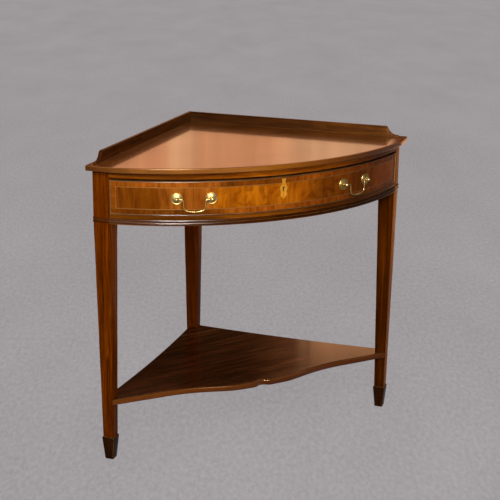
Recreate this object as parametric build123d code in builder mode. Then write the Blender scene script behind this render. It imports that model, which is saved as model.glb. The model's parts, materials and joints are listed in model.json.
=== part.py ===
from build123d import *
import os
from math import asin, atan, cos, degrees, radians, sin, sqrt

os.makedirs("parts", exist_ok=True)

# Bow-fronted corner table with a low gallery, one drawer and an undertier shelf.
# Millimetres. Z is up, the drawer faces -Y and the right-angled corner faces +Y.
# The origin is on the floor, at the middle of the overall box.

# Overall sizes, along the walls and at the front
top_height = 760
top_thickness = 13
arm_length = 600
frieze_height = 129
bow_rise = 131.5
wall_overhang = 10
end_overhang = 18
front_overhang = 14
top_end_margin = 15.5
top_edge_radius = 2.5

# Gallery along the two walls
gallery_height = 26.5
gallery_thickness = 8
gallery_setback = 12
gallery_end_gap = 2
gallery_sweep_length = 32
gallery_tail_length = 5
gallery_tail_height = 4.5
gallery_edge_radius = 1.5
gallery_crest_share = 0.25

# Legs and spade feet
leg_size = 42.5
ankle_size = 27
foot_height = 61
foot_top_size = 32
foot_base_size = 21.5
foot_shoulder = 2
peg_diameter = 12
peg_length = 25

# Rails of the carcass
side_rail_thickness = 18
side_rail_inset = 1.5
tenon_length = 14
tenon_thickness = 9
tenon_shoulder = 12
top_rail_height = 16.5
top_rail_depth = 45
bottom_rail_height = 24.5
bottom_rail_depth = 32
front_tenon_width = 14
front_tenon_length = 12
front_tenon_setback = 17
front_tenon_shoulder = 3

# Reeded moulding round the foot of the frieze
moulding_rise = 2.5
reed_height = 5.5
reed_gap = 1.6
reed_projection = 2.6
moulding_backing = 0.8

# Drawer front and its facings
drawer_top_gap = 5
drawer_bottom_gap = 1
drawer_end_gap = 1.2
front_thickness = 22
veneer_thickness = 0.9
bead_thickness = 2.5
bead_projection = 1.2
bead_depth = 8
bead_bevel = 0.8
band_width = 11.5
stringing_width = 1.6

# Drawer box
box_side_thickness = 10
box_side_clearance = 3
box_side_height = 70
box_back_thickness = 9
box_back_inset = 6
box_back_drop = 4
box_bottom_thickness = 6
box_bottom_rise = 9
groove_depth = 4
front_housing_depth = 7
box_rear_clearance = 10

# Drawer furniture inside the carcass
runner_width = 26
runner_height = 18
runner_lap = 14
guide_height = 10
kicker_width = 14
kicker_clearance = 2
stop_width = 24
stop_depth = 8
stop_height = 6
stop_offset = 150
glue_block_size = 18
glue_block_length = 40
glue_block_shares = (0.39, 0.47)

# Undertier shelf
shelf_height = 164
shelf_thickness = 16
shelf_edge_radius = 5
shelf_back_offset = 14
shelf_back_hollow = 8
shelf_wing_drop = 3.5
shelf_wing_width = 264
shelf_lobe_projection = 42
shelf_lobe_width = 48
shelf_notch_depth = 8
shelf_notch_width = 28
shelf_notch_lip = 2
dowel_diameter = 8
dowel_length = 32
dowel_grip = 12
# Across from lobe to wing, then forward from wing to lobe, at two points of the sweep
shelf_sweep_shares = ((0.51, 0.36), (0.24, 0.81))

# Brass handles
handle_angle = 19.3
handle_rise = 41.5
post_spacing = 83.5
post_reach = 11.5
rosette_diameter = 29
rosette_rim_width = 3
rosette_rim_height = 2.6
rosette_edge_height = 0.6
rosette_dish_height = 1.2
rosette_boss_diameter = 12
rosette_boss_height = 3.6
shank_diameter = 4.5
neck_diameter = 6
ball_diameter = 9.5
pivot_depth = 3.5
nut_width = 9
nut_thickness = 3
shank_end = 1.5
bail_diameter = 3.6
bail_shoulder_width = 53
bail_foot_width = 50
bail_drop = 26
bail_sag = 6
bail_shoulder_radius = 4.5
bail_corner_radius = 9
bail_bottom_radius = 60
bail_end_gap = 0.4

# Inlaid escutcheon, with heights above the drawer's lower edge, its keyhole and the lock behind it
escutcheon_rise = 77.5
escutcheon_crown_width = 12
escutcheon_neck_rise = 67.5
escutcheon_neck_width = 7.5
escutcheon_shoulder_rise = 61
escutcheon_shoulder_width = 14.5
eye_rise = 54.5
eye_width = 21
waist_rise = 45
waist_width = 14
lozenge_rise = 37.5
lozenge_width = 18
escutcheon_tip_rise = 26.5
keyhole_diameter = 5
keyhole_slot_width = 2.6
keyhole_slot_length = 7.5
keyhole_depth_in_case = 5
lock_width = 50
lock_height = 40
lock_let_in = 10
lock_stand = 1.5
bolt_width = 18
bolt_thickness = 4
bolt_height = 22
bolt_depth_in_case = 4
bolt_rest_gap = 0.4
mortise_depth = 7
lock_screw_diameter = 3
lock_screw_head = 5.5
lock_screw_length = 16
lock_screw_head_height = 1.6
lock_screw_inset = 6

# Screws that hold the top
top_screw_diameter = 4
top_screw_head = 8
top_screw_head_height = 3
top_screw_bite = 8
top_screw_angles = (-24, 0, 24)
top_screw_offset = 30

# Clearances, and a length that reaches past anything it cuts
glue_gap = 0.05
running_gap = 0.3
pivot_gap = 0.05
screw_gap = 0.05
overrun = 900

# Heights worked out from the sizes above
frieze_top = top_height - top_thickness
frieze_bottom = frieze_top - frieze_height
top_rail_bottom = frieze_top - top_rail_height
bottom_rail_top = frieze_bottom + bottom_rail_height
drawer_bottom = bottom_rail_top + drawer_bottom_gap
drawer_top = top_rail_bottom - drawer_top_gap
box_side_top = drawer_bottom + box_side_height
panel_bottom = drawer_bottom + box_bottom_rise
panel_top = panel_bottom + box_bottom_thickness
shelf_bottom = shelf_height - shelf_thickness
handle_height = drawer_bottom + handle_rise
eye_height = drawer_bottom + eye_rise
escutcheon_top = drawer_bottom + escutcheon_rise
escutcheon_tip = drawer_bottom + escutcheon_tip_rise

# How far the frieze and the top reach forward from the rear corner
frieze_reach = (arm_length + leg_size) / sqrt(2) + bow_rise
top_reach = frieze_reach + front_overhang

# The carcass corner, and the planes that plans are drawn on
corner_y = (top_reach - wall_overhang * sqrt(2)) / 2
# Across the table: x to the right and y towards the rear corner
middle = Plane(origin=(0, corner_y, 0), x_dir=(1, 0, 0), z_dir=(0, 0, 1))
# Along the walls: x down the left arm and y down the right arm
corner = Plane(origin=(0, corner_y, 0), x_dir=(-1, -1, 0), z_dir=(0, 0, 1))
inward_turn = -135

# The bow passes through the front legs' outer corners and the middle of the front
bow_half_chord = (arm_length - leg_size) / sqrt(2)
bow_radius = (bow_half_chord**2 + bow_rise**2) / (2 * bow_rise)
bow_centre = bow_radius - frieze_reach
bow_half_angle = degrees(asin(bow_half_chord / bow_radius))
bow_axis = Axis((0, corner_y + bow_centre, 0), (0, 0, 1))
front_inner = bow_radius - front_thickness
veneer_inner = bow_radius - veneer_thickness

# How far round the bow a handle's posts stand from its middle
post_angle = degrees(asin(post_spacing / 2 / (bow_radius + post_reach)))

# The drawer box clears the nuts of the outer posts, and ends short of the side rails
outer_post_x = front_inner * sin(radians(handle_angle + post_angle))
box_width = 2 * (outer_post_x + nut_width + box_side_clearance + box_side_thickness)
rail_inner_face = side_rail_inset + side_rail_thickness
box_rear = box_width / 2 + rail_inner_face * sqrt(2) + box_rear_clearance


# Middles of the legs, along the two arms, and the way that each one's dowel points into the shelf
leg_places = {
    "back": (leg_size / 2, leg_size / 2),
    "left": (arm_length - leg_size / 2, leg_size / 2),
    "right": (leg_size / 2, arm_length - leg_size / 2),
}
dowel_ways = {"back": (0, -1, 0), "left": (1, 0, 0), "right": (-1, 0, 0)}

# The legs' faces at the height of the shelf's upper face
taper_share = (frieze_bottom - shelf_height) / (frieze_bottom - foot_height)
leg_at_shelf = leg_size - (leg_size - ankle_size) * taper_share
near_side = (leg_size - leg_at_shelf) / 2
far_side = (leg_size + leg_at_shelf) / 2
arm_near = arm_length - far_side
arm_far = arm_length - near_side
wing_x = (arm_far - far_side) / sqrt(2)
wing_y = (arm_far + far_side) / sqrt(2)
shelf_back_middle = (arm_near + far_side) / 2
shelf_wing_reach = wing_y + shelf_wing_drop
shelf_lobe_reach = wing_y + shelf_lobe_projection
dowel_start = leg_at_shelf / sqrt(2) - dowel_grip


def bow_plane(angle, radius, height):
    """Upright plane through the bow's axis: x outwards, y up."""
    out = (sin(radians(angle)), -cos(radians(angle)), 0)
    along = (-cos(radians(angle)), -sin(radians(angle)), 0)
    origin = (radius * out[0], corner_y + bow_centre + radius * out[1], height)
    return Plane(origin=origin, x_dir=out, z_dir=along)


def face_plane(angle, radius, height):
    """Upright plane against the bow: x along it to the right, y up, z outwards."""
    out = (sin(radians(angle)), -cos(radians(angle)), 0)
    side = (cos(radians(angle)), sin(radians(angle)), 0)
    origin = (radius * out[0], corner_y + bow_centre + radius * out[1], height)
    return Plane(origin=origin, x_dir=side, z_dir=out)


def between_arms(offset):
    """Keep what lies further than offset from both walls, in a plan drawn on the middle plane."""
    with Locations((0, -offset * sqrt(2))):
        Rectangle(overrun, overrun, rotation=inward_turn, align=(Align.MIN, Align.MIN), mode=Mode.INTERSECT)


def bow_plan(outer, inner, offset):
    """Plan of a strip that follows the bow between the two front legs."""
    with Locations((0, bow_centre)):
        Circle(outer)
        Circle(inner, mode=Mode.SUBTRACT)
    between_arms(offset)


def dowel_plane(side):
    """Plane where a shelf dowel starts inside its leg, facing the way that it points."""
    middle_height = shelf_height - shelf_thickness / 2
    return Plane(origin=corner.from_local_coords((*leg_places[side], middle_height)),
                 z_dir=dowel_ways[side]).offset(dowel_start)


def dowel_hole(side):
    """Hole for a shelf dowel, in whatever part is being made."""
    with BuildSketch(dowel_plane(side).offset(-glue_gap)) as hole:
        Circle(dowel_diameter / 2 + glue_gap)
    extrude(hole.sketch, amount=dowel_length + 2 * glue_gap, mode=Mode.SUBTRACT)


# Top board, square along the walls and bowed at the front
with BuildPart() as top_board:
    with BuildSketch(corner.offset(frieze_top)):
        with BuildLine():
            tip = arm_length + end_overhang
            top_end_width = leg_size + top_end_margin
            front_middle = top_reach / sqrt(2)
            Polyline((top_end_width, tip), (-wall_overhang, tip), (-wall_overhang, -wall_overhang),
                     (tip, -wall_overhang), (tip, top_end_width))
            ThreePointArc((tip, top_end_width), (front_middle, front_middle), (top_end_width, tip))
        make_face()
    extrude(amount=top_thickness)
    fillet(top_board.faces().sort_by(Axis.Z)[-1].edges(), top_edge_radius)
    fillet(top_board.faces().sort_by(Axis.Z)[0].edges(), top_edge_radius)
    for angle in top_screw_angles:
        with BuildSketch(Plane(bow_plane(angle, bow_radius - top_screw_offset, frieze_top).origin)):
            Circle(top_screw_diameter / 2 + screw_gap)
        extrude(amount=top_screw_bite + screw_gap, mode=Mode.SUBTRACT)
top_board.part.label = "top_board"
export_step(top_board.part, "parts/top_board.step")

# Gallery rails, mitred at the rear corner and swept down at the front ends
gallery_back = gallery_setback - wall_overhang
gallery_end = arm_length - gallery_end_gap
sweep_start = gallery_end - gallery_tail_length - gallery_sweep_length
sweep_drop = gallery_height - gallery_tail_height
sweep_angle = 2 * degrees(atan(sweep_drop / gallery_sweep_length))
sweep_radius = gallery_sweep_length / sin(radians(sweep_angle))
with BuildPart() as gallery_left:
    back_plane = Plane(origin=corner.from_local_coords((0, gallery_back, top_height)),
                       x_dir=(-1, -1, 0), z_dir=(-1, 1, 0))
    with BuildSketch(back_plane):
        with BuildLine():
            Polyline((sweep_start, gallery_height), (gallery_back, gallery_height), (gallery_back, 0),
                     (gallery_end, 0), (gallery_end, gallery_tail_height),
                     (gallery_end - gallery_tail_length, gallery_tail_height))
            crest = JernArc((sweep_start, gallery_height), (1, 0),
                            sweep_radius * gallery_crest_share, -sweep_angle)
            JernArc(crest @ 1, crest % 1, sweep_radius * (1 - gallery_crest_share), sweep_angle)
        make_face()
    extrude(amount=-gallery_thickness)
    with BuildSketch(middle.offset(top_height)):
        Rectangle(overrun, overrun, align=(Align.MIN, Align.CENTER))
    extrude(amount=gallery_height, mode=Mode.SUBTRACT)
    fillet(gallery_left.edges().filter_by(Plane.XY).group_by(Axis.Z)[-1].filter_by(
        lambda edge: edge.length > arm_length / 2), gallery_edge_radius)
gallery_left.part.label = "gallery_left"
export_step(gallery_left.part, "parts/gallery_left.step")

with BuildPart() as gallery_right:
    mirror(gallery_left.part, about=Plane.YZ)
gallery_right.part.label = "gallery_right"
export_step(gallery_right.part, "parts/gallery_right.step")

# Legs: square in the frieze, tapered on all four sides below it, with a peg for the foot.
# The back leg is mortised for the two side rails.
rail_tenon_centre = side_rail_inset + side_rail_thickness / 2
rail_tenon_height = frieze_height - 2 * tenon_shoulder
with BuildPart() as leg_back:
    with BuildSketch(corner.offset(frieze_bottom)):
        with Locations((leg_size / 2, leg_size / 2)):
            Rectangle(leg_size, leg_size)
    extrude(amount=frieze_height)
    with BuildSketch(corner.offset(frieze_bottom)):
        with Locations((leg_size / 2, leg_size / 2)):
            Rectangle(leg_size, leg_size)
    with BuildSketch(corner.offset(foot_height)):
        with Locations((leg_size / 2, leg_size / 2)):
            Rectangle(ankle_size, ankle_size)
    loft()
    with BuildSketch(corner.offset(foot_height)):
        with Locations((leg_size / 2, leg_size / 2)):
            Circle(peg_diameter / 2)
    extrude(amount=-peg_length)
    with BuildSketch(corner.offset(frieze_bottom + tenon_shoulder - glue_gap)):
        with Locations((leg_size, rail_tenon_centre)):
            Rectangle(tenon_length + glue_gap, tenon_thickness + 2 * glue_gap, align=(Align.MAX, Align.CENTER))
        with Locations((rail_tenon_centre, leg_size)):
            Rectangle(tenon_thickness + 2 * glue_gap, tenon_length + glue_gap, align=(Align.CENTER, Align.MAX))
    extrude(amount=rail_tenon_height + 2 * glue_gap, mode=Mode.SUBTRACT)
    dowel_hole("back")
leg_back.part.label = "leg_back"
export_step(leg_back.part, "parts/leg_back.step")

# The left leg is mortised for one side rail and the two bowed front rails
with BuildPart() as leg_left:
    with BuildSketch(corner.offset(frieze_bottom)):
        with Locations((arm_length - leg_size / 2, leg_size / 2)):
            Rectangle(leg_size, leg_size)
    extrude(amount=frieze_height)
    with BuildSketch(corner.offset(frieze_bottom)):
        with Locations((arm_length - leg_size / 2, leg_size / 2)):
            Rectangle(leg_size, leg_size)
    with BuildSketch(corner.offset(foot_height)):
        with Locations((arm_length - leg_size / 2, leg_size / 2)):
            Rectangle(ankle_size, ankle_size)
    loft()
    with BuildSketch(corner.offset(foot_height)):
        with Locations((arm_length - leg_size / 2, leg_size / 2)):
            Circle(peg_diameter / 2)
    extrude(amount=-peg_length)
    with BuildSketch(corner.offset(frieze_bottom + tenon_shoulder - glue_gap)):
        with Locations((arm_length - leg_size, rail_tenon_centre)):
            Rectangle(tenon_length + glue_gap, tenon_thickness + 2 * glue_gap, align=(Align.MIN, Align.CENTER))
    extrude(amount=rail_tenon_height + 2 * glue_gap, mode=Mode.SUBTRACT)
    for height, rail_height in ((frieze_bottom, bottom_rail_height), (top_rail_bottom, top_rail_height)):
        with BuildSketch(corner.offset(height + front_tenon_shoulder - glue_gap)):
            with Locations((arm_length - front_tenon_setback, leg_size)):
                Rectangle(front_tenon_width + 2 * glue_gap, front_tenon_length + glue_gap,
                          align=(Align.CENTER, Align.MAX))
        extrude(amount=rail_height - 2 * (front_tenon_shoulder - glue_gap), mode=Mode.SUBTRACT)
    dowel_hole("left")
leg_left.part.label = "leg_left"
export_step(leg_left.part, "parts/leg_left.step")

with BuildPart() as leg_right:
    mirror(leg_left.part, about=Plane.YZ)
leg_right.part.label = "leg_right"
export_step(leg_right.part, "parts/leg_right.step")

# Spade feet, wider than the ankle at the top and drawn in to the floor
for side, place in leg_places.items():
    with BuildPart() as spade_foot:
        with BuildSketch(corner):
            with Locations(place):
                Rectangle(foot_base_size, foot_base_size)
        with BuildSketch(corner.offset(foot_height - foot_shoulder)):
            with Locations(place):
                Rectangle(foot_top_size, foot_top_size)
        loft()
        with BuildSketch(corner.offset(foot_height - foot_shoulder)):
            with Locations(place):
                Rectangle(foot_top_size, foot_top_size)
        with BuildSketch(corner.offset(foot_height)):
            with Locations(place):
                Rectangle(foot_top_size - foot_shoulder, foot_top_size - foot_shoulder)
        loft()
        with BuildSketch(corner.offset(foot_height)):
            with Locations(place):
                Circle(peg_diameter / 2 + glue_gap)
        extrude(amount=-(peg_length + glue_gap), mode=Mode.SUBTRACT)
    spade_foot.part.label = f"spade_foot_{side}"
    export_step(spade_foot.part, f"parts/spade_foot_{side}.step")

# Side rails along the walls, tenoned into the legs
with BuildPart() as side_rail_left:
    with BuildSketch(corner.offset(frieze_bottom)):
        with Locations((leg_size, side_rail_inset)):
            Rectangle(arm_length - 2 * leg_size, side_rail_thickness, align=(Align.MIN, Align.MIN))
    extrude(amount=frieze_height)
    with BuildSketch(corner.offset(frieze_bottom + tenon_shoulder)):
        with Locations((leg_size - tenon_length, rail_tenon_centre)):
            Rectangle(arm_length - 2 * (leg_size - tenon_length), tenon_thickness,
                      align=(Align.MIN, Align.CENTER))
    extrude(amount=rail_tenon_height)
side_rail_left.part.label = "side_rail_left"
export_step(side_rail_left.part, "parts/side_rail_left.step")

with BuildPart() as side_rail_right:
    mirror(side_rail_left.part, about=Plane.YZ)
side_rail_right.part.label = "side_rail_right"
export_step(side_rail_right.part, "parts/side_rail_right.step")

# Bowed top rail, with screw holes and the mortise that takes the lock's bolt
bolt_centre_radius = front_inner + lock_let_in - bolt_depth_in_case
with BuildPart() as front_top_rail:
    with BuildSketch(middle.offset(top_rail_bottom)):
        bow_plan(bow_radius, bow_radius - top_rail_depth, leg_size)
    extrude(amount=top_rail_height)
    with BuildSketch(corner.offset(top_rail_bottom + front_tenon_shoulder)):
        with Locations((arm_length - front_tenon_setback, leg_size)):
            Rectangle(front_tenon_width, front_tenon_length, align=(Align.CENTER, Align.MAX))
        with Locations((leg_size, arm_length - front_tenon_setback)):
            Rectangle(front_tenon_length, front_tenon_width, align=(Align.MAX, Align.CENTER))
    extrude(amount=top_rail_height - 2 * front_tenon_shoulder)
    with BuildSketch(middle.offset(top_rail_bottom)):
        with Locations((0, bow_centre - bolt_centre_radius)):
            Rectangle(bolt_width + 2 * running_gap, bolt_thickness + 2 * running_gap)
    extrude(amount=mortise_depth, mode=Mode.SUBTRACT)
    for angle in top_screw_angles:
        screw_foot = bow_plane(angle, bow_radius - top_screw_offset, top_rail_bottom).origin
        with BuildSketch(Plane(screw_foot)):
            Circle(top_screw_diameter / 2 + screw_gap)
        extrude(amount=top_rail_height, mode=Mode.SUBTRACT)
        with BuildSketch(Plane(screw_foot)):
            Circle(top_screw_head / 2 + screw_gap)
        extrude(amount=top_screw_head_height, mode=Mode.SUBTRACT)
front_top_rail.part.label = "front_top_rail"
export_step(front_top_rail.part, "parts/front_top_rail.step")

# Bowed bottom rail under the drawer
with BuildPart() as front_bottom_rail:
    with BuildSketch(middle.offset(frieze_bottom)):
        bow_plan(bow_radius, bow_radius - bottom_rail_depth, leg_size)
    extrude(amount=bottom_rail_height)
    with BuildSketch(corner.offset(frieze_bottom + front_tenon_shoulder)):
        with Locations((arm_length - front_tenon_setback, leg_size)):
            Rectangle(front_tenon_width, front_tenon_length, align=(Align.CENTER, Align.MAX))
        with Locations((leg_size, arm_length - front_tenon_setback)):
            Rectangle(front_tenon_length, front_tenon_width, align=(Align.MAX, Align.CENTER))
    extrude(amount=bottom_rail_height - 2 * front_tenon_shoulder)
front_bottom_rail.part.label = "front_bottom_rail"
export_step(front_bottom_rail.part, "parts/front_bottom_rail.step")


def moulding_profile():
    """Two half-round reeds with a flat between them, x outwards from the wall it is planted on."""
    upper = reed_height + reed_gap
    with BuildLine() as outline:
        Polyline((moulding_backing, 0), (0, 0), (0, upper + reed_height), (moulding_backing, upper + reed_height))
        ThreePointArc((moulding_backing, upper + reed_height), (reed_projection, upper + reed_height / 2),
                      (moulding_backing, upper))
        Line((moulding_backing, upper), (moulding_backing, reed_height))
        ThreePointArc((moulding_backing, reed_height), (reed_projection, reed_height / 2), (moulding_backing, 0))
    make_face(outline.edges())


# Moulding planted round the front, with a short return across each front leg
with BuildPart() as frieze_moulding:
    with BuildSketch(bow_plane(-bow_half_angle, bow_radius, frieze_bottom + moulding_rise)):
        moulding_profile()
    revolve(axis=bow_axis, revolution_arc=2 * bow_half_angle)
frieze_moulding.part.label = "frieze_moulding"
export_step(frieze_moulding.part, "parts/frieze_moulding.step")

with BuildPart() as moulding_return_left:
    return_plane = Plane(origin=corner.from_local_coords((arm_length, 0, frieze_bottom + moulding_rise)),
                         x_dir=(-1, -1, 0), z_dir=(-1, 1, 0))
    with BuildSketch(return_plane):
        moulding_profile()
    extrude(amount=-leg_size)
moulding_return_left.part.label = "moulding_return_left"
export_step(moulding_return_left.part, "parts/moulding_return_left.step")

with BuildPart() as moulding_return_right:
    mirror(moulding_return_left.part, about=Plane.YZ)
moulding_return_right.part.label = "moulding_return_right"
export_step(moulding_return_right.part, "parts/moulding_return_right.step")

# Glue blocks in the angle between the side rails and the top, on both sides of the kickers
kicker_near = (box_width - box_side_thickness - kicker_width) / sqrt(2) + rail_inner_face
kicker_far = (box_width - box_side_thickness + kicker_width) / sqrt(2) + rail_inner_face + glue_block_size
block_runs = ((leg_size, kicker_near), (kicker_far, arm_length - leg_size))
with BuildPart() as glue_blocks:
    with BuildSketch(corner.offset(frieze_top - glue_block_size)):
        for share, (run_start, run_end) in zip(glue_block_shares, block_runs):
            along = run_start + (run_end - run_start) * share
            with Locations((along, rail_inner_face)):
                Rectangle(glue_block_length, glue_block_size, align=(Align.CENTER, Align.MIN))
            with Locations((rail_inner_face, along)):
                Rectangle(glue_block_size, glue_block_length, align=(Align.MIN, Align.CENTER))
    extrude(amount=glue_block_size)
glue_blocks.part.label = "glue_blocks"
export_step(glue_blocks.part, "parts/glue_blocks.step")

# Screws up through the top rail into the top
with BuildPart() as top_screws:
    for angle in top_screw_angles:
        screw_foot = bow_plane(angle, bow_radius - top_screw_offset, top_rail_bottom).origin
        with BuildSketch(Plane(screw_foot)):
            Circle(top_screw_head / 2)
        extrude(amount=top_screw_head_height)
        with BuildSketch(Plane(screw_foot)):
            Circle(top_screw_diameter / 2)
        extrude(amount=top_rail_height + top_screw_bite)
top_screws.part.label = "top_screws"
export_step(top_screws.part, "parts/top_screws.step")

# Runners under the drawer's sides, from the bottom rail back to the side rails
runner_outer = box_width / 2 - runner_lap + runner_width
with BuildPart() as runner_left:
    with BuildSketch(middle.offset(drawer_bottom - running_gap - runner_height)):
        with Locations((-runner_outer, 0)):
            Rectangle(runner_width, overrun, align=(Align.MIN, Align.MAX))
        with Locations((0, bow_centre)):
            Circle(bow_radius - bottom_rail_depth, mode=Mode.INTERSECT)
        between_arms(rail_inner_face)
    extrude(amount=runner_height)
runner_left.part.label = "runner_left"
export_step(runner_left.part, "parts/runner_left.step")

with BuildPart() as runner_right:
    mirror(runner_left.part, about=Plane.YZ)
runner_right.part.label = "runner_right"
export_step(runner_right.part, "parts/runner_right.step")

# Guides on the runners, outside the drawer's sides
with BuildPart() as guide_left:
    with BuildSketch(middle.offset(drawer_bottom - running_gap)):
        with Locations((-runner_outer, 0)):
            Rectangle(runner_width - runner_lap - running_gap, overrun, align=(Align.MIN, Align.MAX))
        with Locations((0, bow_centre)):
            Circle(bow_radius - bottom_rail_depth, mode=Mode.INTERSECT)
        between_arms(rail_inner_face)
    extrude(amount=guide_height)
guide_left.part.label = "guide_left"
export_step(guide_left.part, "parts/guide_left.step")

with BuildPart() as guide_right:
    mirror(guide_left.part, about=Plane.YZ)
guide_right.part.label = "guide_right"
export_step(guide_right.part, "parts/guide_right.step")

# Kickers over the drawer's sides, which stop it tipping when it is drawn out
with BuildPart() as kicker_left:
    with BuildSketch(middle.offset(box_side_top + kicker_clearance)):
        with Locations((-box_width / 2 + box_side_thickness / 2, 0)):
            Rectangle(kicker_width, overrun, align=(Align.CENTER, Align.MAX))
        with Locations((0, bow_centre)):
            Circle(bow_radius - top_rail_depth, mode=Mode.INTERSECT)
        between_arms(rail_inner_face)
    extrude(amount=frieze_top - box_side_top - kicker_clearance)
kicker_left.part.label = "kicker_left"
export_step(kicker_left.part, "parts/kicker_left.step")

with BuildPart() as kicker_right:
    mirror(kicker_left.part, about=Plane.YZ)
kicker_right.part.label = "kicker_right"
export_step(kicker_right.part, "parts/kicker_right.step")

# Stops on the bottom rail, which the closed drawer's front rests against
with BuildPart() as drawer_stops:
    with BuildSketch(middle.offset(bottom_rail_top)):
        with Locations((-stop_offset, 0), (stop_offset, 0)):
            Rectangle(stop_width, overrun, align=(Align.CENTER, Align.MAX))
        with Locations((0, bow_centre)):
            Circle(front_inner - running_gap, mode=Mode.INTERSECT)
            Circle(front_inner - running_gap - stop_depth, mode=Mode.SUBTRACT)
    extrude(amount=stop_height)
drawer_stops.part.label = "drawer_stops"
export_step(drawer_stops.part, "parts/drawer_stops.step")

# Undertier shelf: notched round the legs, hollow along the walls and serpentine at the front
def to_middle(down_left, down_right):
    """A point given along the two arms, in the middle plane's own x and y."""
    return ((down_right - down_left) / sqrt(2), -(down_left + down_right) / sqrt(2))


with BuildPart() as undertier_shelf:
    with BuildSketch(middle.offset(shelf_bottom)) as shelf_plan:
        with BuildLine():
            # Left half: back leg's notch, hollow back edge, front leg's notch
            ThreePointArc(to_middle(far_side, shelf_back_offset),
                          to_middle(shelf_back_middle, shelf_back_offset + shelf_back_hollow),
                          to_middle(arm_near, shelf_back_offset))
            Polyline(to_middle(arm_near, shelf_back_offset), to_middle(arm_near, far_side),
                     to_middle(arm_far, far_side))
            # Front edge: straight wing, sweep out to the lobe, then in to the middle notch
            Line((-wing_x, -wing_y), (-shelf_wing_width, -shelf_wing_reach))
            sweep_run = shelf_wing_width - shelf_lobe_width
            sweep_out = shelf_lobe_reach - shelf_wing_reach
            sweep_points = [(-shelf_lobe_width - sweep_run * across, -shelf_wing_reach - sweep_out * forward)
                            for across, forward in shelf_sweep_shares]
            Spline((-shelf_wing_width, -shelf_wing_reach), *sweep_points, (-shelf_lobe_width, -shelf_lobe_reach),
                   tangents=((1, 0), (1, 0)))
            Spline((-shelf_lobe_width, -shelf_lobe_reach),
                   (-shelf_notch_width / 2, -shelf_lobe_reach + shelf_notch_lip),
                   (0, -shelf_lobe_reach + shelf_notch_depth), tangents=((1, 0), (1, 0)))
            Polyline((0, -shelf_lobe_reach + shelf_notch_depth), to_middle(far_side, far_side),
                     to_middle(far_side, shelf_back_offset))
        make_face()
        mirror(about=Plane.YZ)
    extrude(amount=shelf_thickness)
    front_edges = undertier_shelf.edges().filter_by(Plane.XY).filter_by(
        lambda edge: edge.center().Y < corner_y - wing_y + shelf_edge_radius)
    fillet(front_edges, shelf_edge_radius)
    for side in leg_places:
        dowel_hole(side)
undertier_shelf.part.label = "undertier_shelf"
export_step(undertier_shelf.part, "parts/undertier_shelf.step")

# Dowels that pin the shelf to the legs
with BuildPart() as shelf_dowels:
    for side in leg_places:
        with BuildSketch(dowel_plane(side)):
            Circle(dowel_diameter / 2)
        extrude(amount=dowel_length)
shelf_dowels.part.label = "shelf_dowels"
export_step(shelf_dowels.part, "parts/shelf_dowels.step")

# The drawer's front, layer by layer: distances from the walls where each layer ends
front_end = leg_size + drawer_end_gap
band_end = front_end + bead_thickness
string_end = band_end + band_width
field_end = string_end + stringing_width
band_bottom = drawer_bottom + bead_thickness
band_top = drawer_top - bead_thickness
string_bottom = band_bottom + band_width
string_top = band_top - band_width
field_bottom = string_bottom + stringing_width
field_top = string_top - stringing_width
nose_radius = bow_radius + bead_projection
bead_inner = bow_radius - bead_depth

# The handles: their angles round the bow, and the line of their hinges
handle_angles = {"left": -handle_angle, "right": handle_angle}
hinge_radius = (bow_radius + post_reach) * cos(radians(post_angle))


def post_planes(side):
    """Planes on the drawer's face at the two posts of a handle."""
    middle_angle = handle_angles[side]
    return [face_plane(middle_angle + turn, bow_radius, handle_height) for turn in (-post_angle, post_angle)]


def post_holes():
    """Holes for the posts of both handles, in whatever part is being made."""
    for side in handle_angles:
        for plane in post_planes(side):
            with BuildSketch(plane) as hole:
                Circle(shank_diameter / 2 + glue_gap)
            extrude(hole.sketch, amount=front_thickness * 2, both=True, mode=Mode.SUBTRACT)


def escutcheon_outline():
    """Crown, neck, round eye, waist and pointed lozenge, drawn on the middle of the drawer's face."""
    neck_height = drawer_bottom + escutcheon_neck_rise
    shoulder_height = drawer_bottom + escutcheon_shoulder_rise
    waist_height = drawer_bottom + waist_rise
    lozenge_height = drawer_bottom + lozenge_rise
    half_points = [(0, escutcheon_top), (escutcheon_crown_width / 2, escutcheon_top),
                   (escutcheon_neck_width / 2, neck_height)]
    with BuildLine() as outline:
        Polyline(*half_points)
        ThreePointArc((escutcheon_neck_width / 2, neck_height),
                      (escutcheon_shoulder_width / 2, shoulder_height), (eye_width / 2, eye_height))
        Polyline((eye_width / 2, eye_height), (waist_width / 2, waist_height),
                 (lozenge_width / 2, lozenge_height), (0, escutcheon_tip), (0, escutcheon_top))
    make_face(outline.edges())
    mirror(about=Plane.YZ)


def keyhole_outline():
    """Round eye of the keyhole with its slot hanging below."""
    with Locations((0, eye_height)):
        Circle(keyhole_diameter / 2)
    with Locations((0, eye_height)):
        Rectangle(keyhole_slot_width, keyhole_slot_length, align=(Align.CENTER, Align.MAX))


face_middle = face_plane(0, bow_radius, 0)

# Escutcheon, bent to the bow and let in level with the veneers
with BuildPart() as escutcheon_inlay:
    with BuildSketch(face_middle):
        escutcheon_outline()
    extrude(amount=front_thickness, both=True)
    with BuildSketch(middle.offset(escutcheon_tip)):
        bow_plan(bow_radius, veneer_inner, front_end)
    extrude(amount=escutcheon_top - escutcheon_tip, mode=Mode.INTERSECT)
    escutcheon_blank = escutcheon_inlay.part
    with BuildSketch(face_middle):
        keyhole_outline()
    extrude(amount=front_thickness, both=True, mode=Mode.SUBTRACT)
escutcheon_inlay.part.label = "escutcheon_inlay"
export_step(escutcheon_inlay.part, "parts/escutcheon_inlay.step")

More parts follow.
